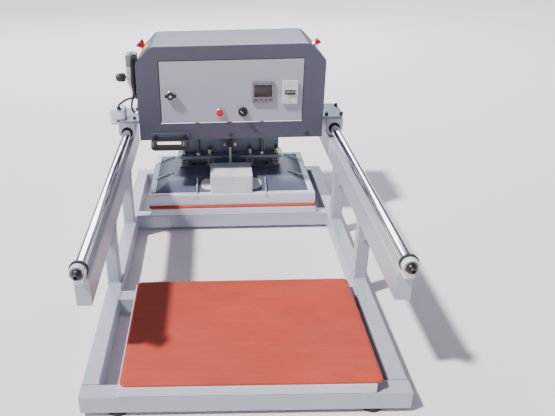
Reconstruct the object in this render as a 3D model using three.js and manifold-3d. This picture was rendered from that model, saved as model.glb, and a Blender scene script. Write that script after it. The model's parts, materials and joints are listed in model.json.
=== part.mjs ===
// Shuttle heat press: a press head rolls on two round rails between a front and a rear station.
// Millimetres, +Z up. X runs across the machine, Y from the operator (front) to the rear.
// Inside the machine group Y = 0 is the front face of the base frame and Z = 0 is the top of its tubes.
import * as THREE from 'three';
import { mergeVertices } from 'three/addons/utils/BufferGeometryUtils.js';
import Module from 'manifold-3d';

// ---------------------------------------------------------------- driving dimensions
const TOUCH_GAP = 0.3; // space left between pieces that rest on each other
const OVERLAP = 1; // how far cutters and joined solids reach into each other
const ROUND_SIDES = 24; // facets of a turned piece
const FINE_SIDES = 32; // facets of a running fit or a large turned piece
const ARC_SEGMENTS = 3; // facets of a rounded profile corner

const FRAME = { length: 1424, halfWidth: 414, tubeWidth: 46, tubeHeight: 54, wall: 3, corner: 4 };
const FRONT_CROSS_Y = 414; // front face of the cross tube behind the front station
const REAR_CROSS_Y = 962; // front face of the cross tube before the rear station
const DRAIN_RADIUS = 4;

const FOOT = { radius: 28, height: 12, insetX: 92, insetY: 28, lip: 3 };
const POST = { size: 40, frontY: 500, rearY: 905, height: 196, gusset: 60, gussetThickness: 6 };
const BEAM = { x: 394, width: 40, height: 80, frontY: 112, rearY: 1256 };
const RAIL = { z: 309, radius: 15.5, frontY: 82, rearY: 1252, chamfer: 1.5 };
const RAIL_SUPPORT = {
  bossRadius: 21, bossLength: 13, webWidth: 26, footThickness: 3, frontY: 86, rearY: 1235,
};
const SUPPORT_FOOT_REACH = 58; // length of the foot strip that lies on the beam

const BASE_PLATE = { width: 638, depth: 452, bottom: TOUCH_GAP, height: 26.4, sheet: 4, offsetX: 5 };
const PAD = { width: 650, depth: 450, thickness: 8, corner: 10 };
const FRONT_PAD_OFFSET_X = 15; // the loose front pad lies a little to the right
const REAR_PAD_OFFSET_X = 2;
const PAD_INSET_Y = 4;

const CARRIAGE_PLATE = { halfWidth: 428, frontY: 1060, depth: 165, thickness: 10, corner: 30 };
const BLOCK = {
  radius: 31, width: 62, top: 345, bottom: 279.8, bore: 15.9, mouthRadius: 22, mouthDepth: 9,
};

const HEAD = {
  frontY: 1029, depth: 286, halfWidth: 342, bottom: 288, shoulder: 577, top: 635.5, roofHalf: 284,
};
const HEAD_BEND = 30; // bend radius where the side, shoulder and roof sheets meet
const HEAD_SHEET = 2.5;
const SHOULDER_HOLE_DEPTH = 10; // cutter length on each side of a shoulder sheet
const CLEARANCE = 1; // room round the wing plate and the button shanks
const FACE_SHEET = 3;

const DOOR = {
  left: -256, right: 262, bottom: 354, top: 583, sheet: 2.5, gap: 3, flange: 10, flangeSheet: 1.5,
};
const HINGE_PIN_RADIUS = 1;

const CONTROLLER = { x: 118.5, z: 463, bezel: 80, bezelDepth: 6, body: 72, bodyDepth: 68 };
const CONTROLLER_SCREEN = { width: 66, height: 46, z: 470, depth: 1.6 };
const CONTROLLER_KEY = {
  z: 436, pitch: 18, radius: 4, height: 4.4, holeRadius: 4.5, holeDepth: 4.5, lift: 0.9,
};
const CONTROLLER_KEY_COUNT = 4;

const BREAKER = { x: 216, z: 463.5, width: 56, height: 85, depth: 9, slotWidth: 38, slotHeight: 18 };
const BREAKER_BODY = { width: 44, height: 66, depth: 50 };
const TOGGLE = {
  width: 30, radius: 6, leverReach: 12, leverThickness: 5, axisInset: 4, restTilt: Math.PI / 9,
};

const START = { x: -40, z: 390, radius: 13, length: 30, proud: 9, hole: 14, guardRadius: 17 };
const SELECTOR = {
  x: 45, z: 392, radius: 14, length: 14, gripWidth: 7, gripHeight: 9, shank: 9, shankLength: 24,
};
const SELECTOR_REST_TURN = -Math.PI / 4; // the pointer rests at its left-hand position
const LOCK = {
  x: -219, z: 459, radius: 13, length: 16, wing: 42, wingWidth: 11, wingRise: 5, shank: 8, shankLength: 20,
};

const HANDLE = {
  x: -229, width: 142, gripY: 981, gripDepth: 20, gripBottom: 262, gripTop: 284, corner: 9,
};
const HANDLE_FOOT = { width: 20, bottom: 292, top: 318, plate: 6 };

// Both stop buttons: place on the shoulder, shank through the sheet, and a head that flares outwards.
const ESTOP = {
  y: 1140, along: 0.54, shank: 10, shankLength: 34, stem: 15,
  baseRadius: 12.3, headRadius: 19, headHeight: 17.5,
};
const STOP_BUTTON = {
  y: 1140, along: 0.5, shank: 8, shankLength: 26, stem: 13,
  baseRadius: 11.5, headRadius: 12.5, headHeight: 12,
};
const HEAD_FLARE_START = 0.35; // share of the head's height below the flare
const HEAD_FLARE_END = 0.85;
const HEAD_CROWN = 0.8; // radius of the flat top as a share of the head's radius

const PRESS_Y = 1187; // centre line of cylinder, guide rods and platen
const CYLINDER = { size: 112, height: 128, bore: 45, capThickness: 14, bottom: 355.6 };
const PISTON = { rod: 11, rodHole: 12.5, head: 43, headHeight: 16 };
const CLEVIS = { width: 32, depth: 30, bottom: 163.3, top: 236 };

const YOKE = { halfWidth: 213, frontY: 1165, rearY: 1250, bottom: 152.3, thickness: 10.7, corner: 14 };
const YOKE_NOTCH = { left: -31, right: 38, depth: 14 }; // lets the heater lead past the front edge
const YOKE_BEAM = { halfWidth: 200, frontY: 1210, height: 60, wall: 3 };
const GUIDE_ROD = { x: 129, radius: 8, top: 420, clearance: 0.8 };

const SPRING_X = [-189, -81.5, 81.5, 189];
const STUD = { radius: 5, top: 202, clearance: 1.5 };
const PRESSURE_BAR = {
  halfWidth: 205, frontY: 1212, rearY: 1250, bottom: 112.4, top: 140, stripHeight: 3.6,
};
const STRIP_FRONT_Y = 1172;

const PLATEN = { halfWidth: 317, frontY: 979, rearY: 1395, bottom: 35.4, thickness: 26 };
const RIM = {
  halfWidth: 320.5, frontY: 975.5, rearY: 1398.5, bottom: 36.5, top: 80, sheet: 3, flange: 24,
};
const COVER = { halfWidth: 298, frontY: 998, rearY: 1376, bottom: 80.4, top: 112, sheet: 2.5 };
const COVER_PLATEAU = { halfWidth: 230, frontY: 1075, rearY: 1299 };

const JUNCTION = { halfWidth: 81, frontY: 985, rearY: 1124, top: 150, sheet: 2.5, corner: 7, lift: 0.4 };
const JUNCTION_EAR = { reach: 38, halfDepth: 30, corner: 28 };
const LEAD = { radius: 5.5, sides: 10, steps: 26, exitZ: 134, hole: 6.5 };
// The lead's route in Y and Z: it rises in a bend from the junction box's rear wall.
const LEAD_BEND = [[1122, 134], [1134, 136], [1148, 150], [1157, 180], [1157, 230], [1157, 286]];

const REGULATOR = { x: -364, y: 1092, bodyBottom: 495, bodyTop: 554, bodyHalf: 17, corner: 5 };
const REGULATOR_NOZZLE = { coneTop: 16, coneBottom: 9, coneHeight: 18, radius: 6.5, bottom: 437 };
const REGULATOR_BRACKET = { outerX: -381, frontY: 1080, rearY: 1135, bottom: 553, top: 598 };
const REGULATOR_KNOB = { innerX: -388, outerX: -422, z: 514, radius: 16, grooves: 12, grooveRadius: 1.6 };
const REGULATOR_STEM_RADIUS = 6;

const SWITCH_BOX = {
  outerX: -457, innerX: -397, frontY: 1068, rearY: 1124, top: 399, skirtBottom: 336, corner: 9,
};
const AIR_TUBE = { radius: 4, sides: 8, upperSteps: 22, lowerSteps: 44, upperY: 1072.4, lowerY: 1062 };
const UPPER_TUBE_BEND = [[-358.3, 442], [-390, 434], [-414, 418], [-420, 408]];
const LOWER_TUBE_TOP = [[-342.3, 592], [-348, 592], [-354, 586], [-356, 572]];
const LOWER_TUBE_BEND = [[-356, 500], [-357.5, 460], [-367, 425], [-368, 402], [-360, 388], [-349, 384]];
const TUBE_FITTING_Z = { upper: 442, lower: 384 };
const GLAND = {
  x: 60, z: 330, flangeRadius: 16, noseRadius: 11, bore: 5, flangeLength: 6, noseLength: 16,
};

const FEET_HEIGHT = FOOT.height + TOUCH_GAP + FRAME.tubeHeight;
const WIDTH_CENTRE_X = (CARRIAGE_PLATE.halfWidth + SWITCH_BOX.outerX) / 2;

// ---------------------------------------------------------------- solids library
const wasm = await Module();
wasm.setup();

function toSolid(geometry) {
  const bare = geometry.clone();
  bare.deleteAttribute('normal');
  bare.deleteAttribute('uv');
  const merged = mergeVertices(bare);
  const vertProperties = new Float32Array(merged.attributes.position.array);
  const triVerts = new Uint32Array(merged.index.array);
  return new wasm.Manifold(new wasm.Mesh({ numProp: 3, vertProperties, triVerts }));
}

function toGeometry(solid) {
  const mesh = solid.getMesh();
  const geometry = new THREE.BufferGeometry();
  geometry.setAttribute('position', new THREE.BufferAttribute(mesh.vertProperties, 3));
  geometry.setIndex(new THREE.BufferAttribute(mesh.triVerts, 1));
  geometry.computeVertexNormals();
  return geometry;
}

function join(first, ...others) {
  let solid = toSolid(first);
  for (const other of others) solid = solid.add(toSolid(other));
  return toGeometry(solid);
}

function cut(first, ...cutters) {
  let solid = toSolid(first);
  for (const cutter of cutters) solid = solid.subtract(toSolid(cutter));
  return toGeometry(solid);
}

function intersect(first, second) {
  return toGeometry(toSolid(first).intersect(toSolid(second)));
}

// ---------------------------------------------------------------- shape helpers
// A block given by its lowest and highest corners.
function block(low, high) {
  const size = high.map((value, axis) => value - low[axis]);
  const centre = high.map((value, axis) => (value + low[axis]) / 2);
  return new THREE.BoxGeometry(...size).translate(...centre);
}

function roundedRect(left, bottom, right, top, radius) {
  const shape = new THREE.Shape();
  shape.moveTo(left + radius, bottom);
  shape.lineTo(right - radius, bottom);
  shape.absarc(right - radius, bottom + radius, radius, -Math.PI / 2, 0);
  shape.lineTo(right, top - radius);
  shape.absarc(right - radius, top - radius, radius, 0, Math.PI / 2);
  shape.lineTo(left + radius, top);
  shape.absarc(left + radius, top - radius, radius, Math.PI / 2, Math.PI);
  shape.lineTo(left, bottom + radius);
  shape.absarc(left + radius, bottom + radius, radius, Math.PI, Math.PI * 1.5);
  return shape;
}

function polygon(points) {
  return new THREE.Shape(points.map(([x, y]) => new THREE.Vector2(x, y)));
}

function extrudeUp(shape, low, high) {
  const options = { depth: high - low, bevelEnabled: false, curveSegments: ARC_SEGMENTS };
  return new THREE.ExtrudeGeometry(shape, options).translate(0, 0, low);
}

// The shape is drawn in X and Z and runs from lowY to highY.
function extrudeAlongY(shape, lowY, highY) {
  return extrudeUp(shape, 0, highY - lowY).rotateX(Math.PI / 2).translate(0, highY, 0);
}

// The shape is drawn in Y and Z and runs from lowX to highX.
function extrudeAlongX(shape, lowX, highX) {
  return extrudeUp(shape, 0, highX - lowX).rotateX(Math.PI / 2).rotateZ(Math.PI / 2).translate(lowX, 0, 0);
}

function cylinderZ(radius, low, high, sides = ROUND_SIDES) {
  return new THREE.CylinderGeometry(radius, radius, high - low, sides)
    .rotateX(Math.PI / 2)
    .translate(0, 0, (low + high) / 2);
}

function cylinderY(radius, lowY, highY, sides = ROUND_SIDES) {
  return new THREE.CylinderGeometry(radius, radius, highY - lowY, sides).translate(0, (lowY + highY) / 2, 0);
}

function cylinderX(radius, lowX, highX, sides = ROUND_SIDES) {
  return new THREE.CylinderGeometry(radius, radius, highX - lowX, sides)
    .rotateZ(Math.PI / 2)
    .translate((lowX + highX) / 2, 0, 0);
}

// A turned piece: the profile is a list of [radius, height] that starts and ends on the axis.
function turned(profile, sides = ROUND_SIDES) {
  const points = profile.map(([radius, height]) => new THREE.Vector2(radius, height));
  return new THREE.LatheGeometry(points, sides).rotateX(Math.PI / 2);
}

// A closed rectangular hollow section with one drain hole in its underside.
function hollowAlongX(low, high, wall, corner) {
  const outer = extrudeAlongX(roundedRect(low[1], low[2], high[1], high[2], corner), low[0], high[0]);
  const inner = block(low.map((value) => value + wall), high.map((value) => value - wall));
  const drain = cylinderZ(DRAIN_RADIUS, low[2] - OVERLAP, low[2] + wall + OVERLAP, ROUND_SIDES / 2)
    .translate((low[0] + high[0]) / 2, (low[1] + high[1]) / 2, 0);
  return cut(outer, inner, drain);
}

function hollowAlongY(low, high, wall, corner) {
  const outer = extrudeAlongY(roundedRect(low[0], low[2], high[0], high[2], corner), low[1], high[1]);
  const inner = block(low.map((value) => value + wall), high.map((value) => value - wall));
  const drain = cylinderZ(DRAIN_RADIUS, low[2] - OVERLAP, low[2] + wall + OVERLAP, ROUND_SIDES / 2)
    .translate((low[0] + high[0]) / 2, (low[1] + high[1]) / 2, 0);
  return cut(outer, inner, drain);
}

function tubeAlong(points, radius, sides, steps) {
  const path = new THREE.CatmullRomCurve3(points.map((point) => new THREE.Vector3(...point)));
  const section = new THREE.Shape();
  for (let side = 0; side < sides; side += 1) {
    const angle = (2 * Math.PI * side) / sides;
    const x = radius * Math.cos(angle);
    const y = radius * Math.sin(angle);
    if (side === 0) section.moveTo(x, y);
    else section.lineTo(x, y);
  }
  return new THREE.ExtrudeGeometry(section, { steps, extrudePath: path, bevelEnabled: false });
}

// ---------------------------------------------------------------- materials and placing
const COLOURS = {
  framePaint: { color: 0xccd1dc, roughness: 0.42, metalness: 0.1 },
  chrome: { color: 0xd8dade, roughness: 0.12, metalness: 1 },
  rubber: { color: 0x1b1b1d, roughness: 0.8, metalness: 0 },
  whiteBoard: { color: 0xdfe2e6, roughness: 0.5, metalness: 0 },
  silicone: { color: 0xc8624e, roughness: 0.75, metalness: 0 },
  headPaint: { color: 0x626473, roughness: 0.4, metalness: 0.15 },
  doorPaint: { color: 0xb2b2be, roughness: 0.45, metalness: 0.1 },
  wingPaint: { color: 0x7f8b9b, roughness: 0.45, metalness: 0.15 },
  darkSteel: { color: 0x3c3f46, roughness: 0.4, metalness: 0.8 },
  blackPlastic: { color: 0x26262c, roughness: 0.45, metalness: 0 },
  greyPlastic: { color: 0x6d6f7c, roughness: 0.4, metalness: 0 },
  whitePlastic: { color: 0xe6e7ea, roughness: 0.35, metalness: 0 },
  creamPlastic: { color: 0xd9d7cb, roughness: 0.5, metalness: 0 },
  redPlastic: { color: 0xc8102e, roughness: 0.3, metalness: 0 },
  platenPaint: { color: 0x6e788a, roughness: 0.5, metalness: 0.1 },
  aluminium: { color: 0xc9ccd2, roughness: 0.35, metalness: 0.9 },
  leadSheath: { color: 0xb0a9a2, roughness: 0.6, metalness: 0 },
};

function piece(parent, name, geometry, look, position = [0, 0, 0]) {
  const mesh = new THREE.Mesh(geometry, new THREE.MeshStandardMaterial(COLOURS[look]));
  mesh.name = name;
  mesh.position.set(...position);
  parent.add(mesh);
  return mesh;
}

const SIDES = [['left', -1], ['right', 1]];

// ---------------------------------------------------------------- base frame
function addBaseTubes(parent) {
  const { length, halfWidth, tubeWidth, tubeHeight, wall, corner } = FRAME;
  const lowerCrossTube = (name, half, depth) => {
    const tube = hollowAlongX([-half, 0, -tubeHeight], [half, tubeWidth, 0], wall, corner);
    piece(parent, name, tube, 'framePaint', [0, depth, 0]);
  };
  const innerHalf = halfWidth - tubeWidth - TOUCH_GAP;
  lowerCrossTube('front_tube', halfWidth, 0);
  lowerCrossTube('front_cross_tube', innerHalf, FRONT_CROSS_Y);
  lowerCrossTube('rear_cross_tube', innerHalf, REAR_CROSS_Y);
  lowerCrossTube('rear_tube', halfWidth, length - tubeWidth);
  const sideLow = [-tubeWidth / 2, tubeWidth + TOUCH_GAP, -tubeHeight];
  const sideHigh = [tubeWidth / 2, length - tubeWidth - TOUCH_GAP, 0];
  for (const [side, sign] of SIDES) {
    const tube = hollowAlongY(sideLow, sideHigh, wall, corner);
    piece(parent, `${side}_side_tube`, tube, 'framePaint', [sign * (halfWidth - tubeWidth / 2), 0, 0]);
  }
}

function addFeet(parent) {
  const { radius, height, insetX, insetY, lip } = FOOT;
  const profile = [[0, 0], [radius - lip, 0], [radius, lip], [radius - lip, height], [0, height]];
  const rows = [['front', insetY], ['rear', FRAME.length - insetY]];
  for (const [row, y] of rows) {
    for (const [side, sign] of SIDES) {
      const position = [sign * (FRAME.halfWidth - insetX), y, -FEET_HEIGHT];
      piece(parent, `${row}_${side}_foot`, turned(profile), 'rubber', position);
    }
  }
}

// A square post with a triangular gusset on its front face, under the rail beam.
function postGeometry() {
  const { size, height, gusset, gussetThickness } = POST;
  const half = size / 2;
  const low = TOUCH_GAP;
  const high = height - TOUCH_GAP;
  const outer = extrudeUp(roundedRect(-half, 0, half, size, FRAME.corner), low, high);
  const inner = FRAME.wall - half;
  const bore = block([inner, FRAME.wall, low - OVERLAP], [-inner, size - FRAME.wall, high + OVERLAP]);
  const web = polygon([[-gusset, high], [OVERLAP, high], [OVERLAP, high - gusset]]);
  return join(cut(outer, bore), extrudeAlongX(web, -gussetThickness / 2, gussetThickness / 2));
}

function addPosts(parent) {
  const rows = [['front', POST.frontY], ['rear', POST.rearY]];
  for (const [row, y] of rows) {
    for (const [side, sign] of SIDES) {
      piece(parent, `${row}_${side}_post`, postGeometry(), 'framePaint', [sign * BEAM.x, y, 0]);
    }
  }
}

function addRails(parent) {
  const beamTop = POST.height + BEAM.height;
  const railLength = RAIL.rearY - RAIL.frontY;
  const ends = RAIL.radius - RAIL.chamfer;
  const railProfile = [
    [0, 0], [ends, 0], [RAIL.radius, RAIL.chamfer],
    [RAIL.radius, railLength - RAIL.chamfer], [ends, railLength], [0, railLength],
  ];
  for (const [side, sign] of SIDES) {
    const x = sign * BEAM.x;
    const low = [-BEAM.width / 2, BEAM.frontY, POST.height];
    const high = [BEAM.width / 2, BEAM.rearY, beamTop];
    const beam = hollowAlongY(low, high, FRAME.wall, FRAME.corner);
    piece(parent, `${side}_rail_beam`, beam, 'framePaint', [x, 0, 0]);
    const rail = turned(railProfile, FINE_SIDES).rotateX(-Math.PI / 2);
    piece(parent, `${side}_rail`, rail, 'chrome', [x, RAIL.frontY, RAIL.z]);
  }
}

// A round boss that grips the rail end, on a web and a foot strip that is bolted to the beam.
function railSupportGeometry(footLow, footHigh) {
  const { bossRadius, bossLength, webWidth, footThickness } = RAIL_SUPPORT;
  const footBottom = POST.height + BEAM.height + TOUCH_GAP - RAIL.z;
  const boss = cylinderY(bossRadius, 0, bossLength, FINE_SIDES);
  const web = block([-webWidth / 2, 0, footBottom], [webWidth / 2, bossLength, 0]);
  const footTop = footBottom + footThickness;
  const foot = block([-webWidth / 2, footLow, footBottom], [webWidth / 2, footHigh, footTop]);
  const bore = cylinderY(RAIL.radius + TOUCH_GAP, -OVERLAP, bossLength + OVERLAP, FINE_SIDES);
  return cut(join(boss, web, foot), bore);
}

function addRailSupports(parent) {
  const { bossLength, frontY, rearY } = RAIL_SUPPORT;
  for (const [side, sign] of SIDES) {
    const x = sign * BEAM.x;
    const front = railSupportGeometry(0, SUPPORT_FOOT_REACH);
    piece(parent, `front_${side}_rail_support`, front, 'whitePlastic', [x, frontY, RAIL.z]);
    const rear = railSupportGeometry(0, bossLength);
    piece(parent, `rear_${side}_rail_support`, rear, 'whitePlastic', [x, rearY, RAIL.z]);
  }
}

// Each station is a folded steel tray, open underneath, with a loose sponge pad on it.
function addStations(parent) {
  const { width, depth, bottom, height, sheet, offsetX } = BASE_PLATE;
  const padBottom = bottom + height + TOUCH_GAP;
  const half = width / 2;
  const hollow = block([-half + sheet, sheet, -OVERLAP], [half - sheet, depth - sheet, height - sheet]);
  const stations = [['front', 0, FRONT_PAD_OFFSET_X], ['rear', REAR_CROSS_Y, REAR_PAD_OFFSET_X]];
  for (const [name, y, padOffset] of stations) {
    const tray = cut(block([-half, 0, 0], [half, depth, height]), hollow);
    piece(parent, `${name}_base_plate`, tray, 'whiteBoard', [offsetX, y + TOUCH_GAP, bottom]);
    const outline = roundedRect(-PAD.width / 2, 0, PAD.width / 2, PAD.depth, PAD.corner);
    const pad = extrudeUp(outline, 0, PAD.thickness);
    piece(parent, `${name}_pad`, pad, 'silicone', [padOffset, y + PAD_INSET_Y, padBottom]);
  }
}

// ---------------------------------------------------------------- carriage
function addCarriagePlate(parent) {
  const { halfWidth, frontY, depth, thickness, corner } = CARRIAGE_PLATE;
  const outline = roundedRect(-halfWidth, 0, halfWidth, depth, corner);
  const sheet = extrudeUp(outline, 0, thickness);
  const pressY = PRESS_Y - frontY;
  const rodHole = cylinderZ(PISTON.rodHole, -OVERLAP, thickness + OVERLAP).translate(0, pressY, 0);
  const guideRadius = GUIDE_ROD.radius + GUIDE_ROD.clearance;
  const guideHoles = [-GUIDE_ROD.x, GUIDE_ROD.x].map((x) => (
    cylinderZ(guideRadius, -OVERLAP, thickness + OVERLAP).translate(x, pressY, 0)));
  const seatZ = BLOCK.top + TOUCH_GAP;
  piece(parent, 'carriage_plate', cut(sheet, rodHole, ...guideHoles), 'wingPaint', [0, frontY, seatZ]);
}

// A round linear-bearing housing with a flat top, bored for the rail and opened wider at both mouths.
function bearingBlockGeometry() {
  const { radius, width, top, bottom, bore, mouthRadius, mouthDepth } = BLOCK;
  const { depth } = CARRIAGE_PLATE;
  const barrel = cylinderY(radius, 0, depth, FINE_SIDES);
  const head = block([-width / 2, 0, 0], [width / 2, depth, top - RAIL.z]);
  const below = bottom - RAIL.z;
  const trim = block([-width, -OVERLAP, below - width], [width, depth + OVERLAP, below]);
  const through = cylinderY(bore, -OVERLAP, depth + OVERLAP, FINE_SIDES);
  const frontMouth = cylinderY(mouthRadius, -OVERLAP, mouthDepth, FINE_SIDES);
  const rearMouth = cylinderY(mouthRadius, depth - mouthDepth, depth + OVERLAP, FINE_SIDES);
  return cut(join(barrel, head), trim, through, frontMouth, rearMouth);
}

function addBearingBlocks(parent) {
  for (const [side, sign] of SIDES) {
    const position = [sign * BEAM.x, CARRIAGE_PLATE.frontY, RAIL.z];
    piece(parent, `${side}_bearing_block`, bearingBlockGeometry(), 'framePaint', position);
  }
}

// The head's outline in X and Z: vertical sides, 45 degree shoulders and a flat roof, with bent corners.
function headOutline(inset, bottomDrop = 0) {
  const { halfWidth, bottom, shoulder, top, roofHalf } = HEAD;
  const side = halfWidth - inset;
  const slopeInset = inset * (Math.SQRT2 - 1);
  const low = bottom - bottomDrop;
  const roof = roofHalf - slopeInset;
  const bendStart = shoulder - slopeInset;
  const bendReach = (HEAD_BEND - inset) * (Math.SQRT2 - 1);
  const slopeReach = bendReach * Math.SQRT1_2;
  const shape = new THREE.Shape();
  shape.moveTo(-side, low);
  shape.lineTo(side, low);
  shape.lineTo(side, bendStart - bendReach);
  shape.quadraticCurveTo(side, bendStart, side - slopeReach, bendStart + slopeReach);
  shape.lineTo(roof + slopeReach, top - inset - slopeReach);
  shape.quadraticCurveTo(roof, top - inset, roof - bendReach, top - inset);
  shape.lineTo(-roof + bendReach, top - inset);
  shape.quadraticCurveTo(-roof, top - inset, -roof - slopeReach, top - inset - slopeReach);
  shape.lineTo(-side + slopeReach, bendStart + slopeReach);
  shape.quadraticCurveTo(-side, bendStart, -side, bendStart - bendReach);
  return shape;
}

// A point on the left or right shoulder, with the group axis +Z pointing outwards from it.
function shoulderGroup(sign, y, along) {
  const { halfWidth, shoulder, top, roofHalf } = HEAD;
  const run = halfWidth - roofHalf;
  const rise = top - shoulder;
  const group = new THREE.Group();
  group.position.set(sign * (halfWidth - run * along), y, shoulder + rise * along);
  group.rotation.y = sign * Math.atan2(rise, run);
  return group;
}

function shoulderHole(sign, spec, radius) {
  const group = shoulderGroup(sign, spec.y, spec.along);
  group.updateMatrixWorld(true);
  return cylinderZ(radius, -SHOULDER_HOLE_DEPTH, SHOULDER_HOLE_DEPTH).applyMatrix4(group.matrixWorld);
}

function addHousing(parent) {
  const { frontY, depth, halfWidth } = HEAD;
  const shellFront = frontY + FACE_SHEET + TOUCH_GAP;
  const rear = frontY + depth;
  const outer = extrudeAlongY(headOutline(0), shellFront, rear);
  const hollow = extrudeAlongY(headOutline(HEAD_SHEET, HEAD_SHEET), shellFront - OVERLAP, rear - HEAD_SHEET);
  const slotLow = [-halfWidth - OVERLAP, CARRIAGE_PLATE.frontY - CLEARANCE, BLOCK.top];
  const slotHigh = [
    halfWidth + OVERLAP,
    CARRIAGE_PLATE.frontY + CARRIAGE_PLATE.depth + CLEARANCE,
    BLOCK.top + CARRIAGE_PLATE.thickness + CLEARANCE,
  ];
  const stopHole = shoulderHole(-1, ESTOP, ESTOP.shank + CLEARANCE);
  const buttonHole = shoulderHole(1, STOP_BUTTON, STOP_BUTTON.shank + CLEARANCE);
  const glandHole = cylinderY(GLAND.bore + OVERLAP, rear - HEAD_SHEET - OVERLAP, rear + OVERLAP)
    .translate(GLAND.x, 0, GLAND.z);
  const shell = cut(outer, hollow, block(slotLow, slotHigh), stopHole, buttonHole, glandHole);
  piece(parent, 'head_housing', shell, 'headPaint');
}

function addFacePlate(parent) {
  const { left, right, bottom, top, gap } = DOOR;
  const sheet = extrudeAlongY(headOutline(0), 0, FACE_SHEET);
  const opening = block([left - gap, -OVERLAP, bottom - gap], [right + gap, FACE_SHEET + OVERLAP, top + gap]);
  const pin = cylinderZ(HINGE_PIN_RADIUS, bottom - gap - OVERLAP, top + gap + OVERLAP, ROUND_SIDES / 2)
    .translate(right + gap / 2, HINGE_PIN_RADIUS, 0);
  piece(parent, 'face_plate', join(cut(sheet, opening), pin), 'headPaint', [0, HEAD.frontY, 0]);
}

// A grip bar on two legs, with a fixing plate that joins their feet on the head's face.
function addHandle(parent) {
  const { x, width, gripY, gripDepth, gripBottom, gripTop, corner } = HANDLE;
  const { bottom: footBottom, top: footTop, plate: plateThickness } = HANDLE_FOOT;
  const mountY = HEAD.frontY - TOUCH_GAP;
  const grip = extrudeAlongX(
    roundedRect(gripY, gripBottom, gripY + gripDepth, gripTop, corner), -width / 2, width / 2);
  const plate = block([-width / 2, mountY - plateThickness, footBottom], [width / 2, mountY, footTop]);
  const legOutline = polygon([
    [gripY + corner, gripBottom], [gripY + gripDepth, gripBottom], [mountY, footBottom],
    [mountY, footTop], [mountY - plateThickness, footTop], [gripY + corner, gripTop],
  ]);
  const legs = [-1, 1].map((sign) => {
    const outerX = (sign * width) / 2;
    const innerX = outerX - sign * HANDLE_FOOT.width;
    return extrudeAlongX(legOutline, Math.min(outerX, innerX), Math.max(outerX, innerX));
  });
  piece(parent, 'push_handle', join(grip, plate, ...legs), 'blackPlastic', [x, 0, 0]);
}

function addCylinder(parent) {
  const { size, height, bore, capThickness, bottom } = CYLINDER;
  const half = size / 2;
  const body = block([-half, -half, 0], [half, half, height]);
  const chamber = cylinderZ(bore, capThickness, height - capThickness, FINE_SIDES);
  const rodHole = cylinderZ(PISTON.rodHole, -OVERLAP, capThickness + OVERLAP);
  piece(parent, 'air_cylinder', cut(body, chamber, rodHole), 'aluminium', [0, PRESS_Y, bottom]);
}

// The regulator hangs under a bracket on the head's left wall, with its nozzle pointing down.
function addRegulator(parent) {
  const { x, y, bodyBottom, bodyTop, bodyHalf, corner } = REGULATOR;
  const body = extrudeUp(roundedRect(-bodyHalf, -bodyHalf, bodyHalf, bodyHalf, corner), bodyBottom, bodyTop);
  const { coneTop, coneBottom, coneHeight, radius, bottom } = REGULATOR_NOZZLE;
  const coneLow = bodyBottom - coneHeight;
  const nozzle = turned([
    [0, bottom], [radius, bottom], [radius, coneLow], [coneBottom, coneLow],
    [coneTop, bodyBottom], [coneTop, bodyBottom + OVERLAP], [0, bodyBottom + OVERLAP],
  ]);
  const stem = cylinderX(REGULATOR_STEM_RADIUS, REGULATOR_KNOB.innerX - x + TOUCH_GAP, 0)
    .translate(0, 0, REGULATOR_KNOB.z);
  const { outerX, frontY, rearY, bottom: bracketBottom, top } = REGULATOR_BRACKET;
  const wallX = -HEAD.halfWidth - TOUCH_GAP;
  const bracket = block([outerX - x, frontY - y, bracketBottom], [wallX - x, rearY - y, top]);
  piece(parent, 'air_regulator', join(body, nozzle, stem, bracket), 'creamPlastic', [x, y, 0]);
}

function addSwitchBox(parent) {
  const { outerX, innerX, frontY, rearY, top, skirtBottom, corner } = SWITCH_BOX;
  const seat = BLOCK.top + TOUCH_GAP + CARRIAGE_PLATE.thickness + TOUCH_GAP;
  const skirtX = -CARRIAGE_PLATE.halfWidth - TOUCH_GAP;
  const upper = extrudeUp(roundedRect(outerX, frontY, innerX, rearY, corner), seat, top);
  const skirt = extrudeUp(roundedRect(outerX, frontY, skirtX, rearY, corner), skirtBottom, seat + OVERLAP);
  piece(parent, 'end_switch_box', join(upper, skirt), 'whitePlastic');
}

// The upper tube runs from the wall to the switch box. The lower one leaves the wall near the shoulder,
// hangs down in front of the regulator and enters the wall again below it.
function addAirTubes(parent) {
  const { radius, sides, upperSteps, lowerSteps, upperY, lowerY } = AIR_TUBE;
  const wallX = -HEAD.halfWidth - TOUCH_GAP;
  const boxTop = SWITCH_BOX.top + TOUCH_GAP;
  const [boxX] = UPPER_TUBE_BEND.at(-1);
  const upperRoute = [[wallX, TUBE_FITTING_Z.upper], ...UPPER_TUBE_BEND, [boxX, boxTop]];
  const lowerRoute = [...LOWER_TUBE_TOP, ...LOWER_TUBE_BEND, [wallX, TUBE_FITTING_Z.lower]];
  const routes = [
    ['upper_air_tube', upperRoute, upperY, upperSteps],
    ['lower_air_tube', lowerRoute, lowerY, lowerSteps],
  ];
  for (const [name, route, y, steps] of routes) {
    const points = route.map(([x, z]) => [x, y, z]);
    piece(parent, name, tubeAlong(points, radius, sides, steps), 'rubber');
  }
}

function addGland(parent) {
  const { x, z, flangeRadius, noseRadius, bore, flangeLength, noseLength } = GLAND;
  const rear = HEAD.frontY + HEAD.depth + TOUCH_GAP;
  const flange = cylinderY(flangeRadius, 0, flangeLength);
  const nose = cylinderY(noseRadius, 0, flangeLength + noseLength);
  const hole = cylinderY(bore, -OVERLAP, flangeLength + noseLength + OVERLAP);
  piece(parent, 'cord_gland', cut(join(flange, nose), hole), 'blackPlastic', [x, rear, z]);
}

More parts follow.
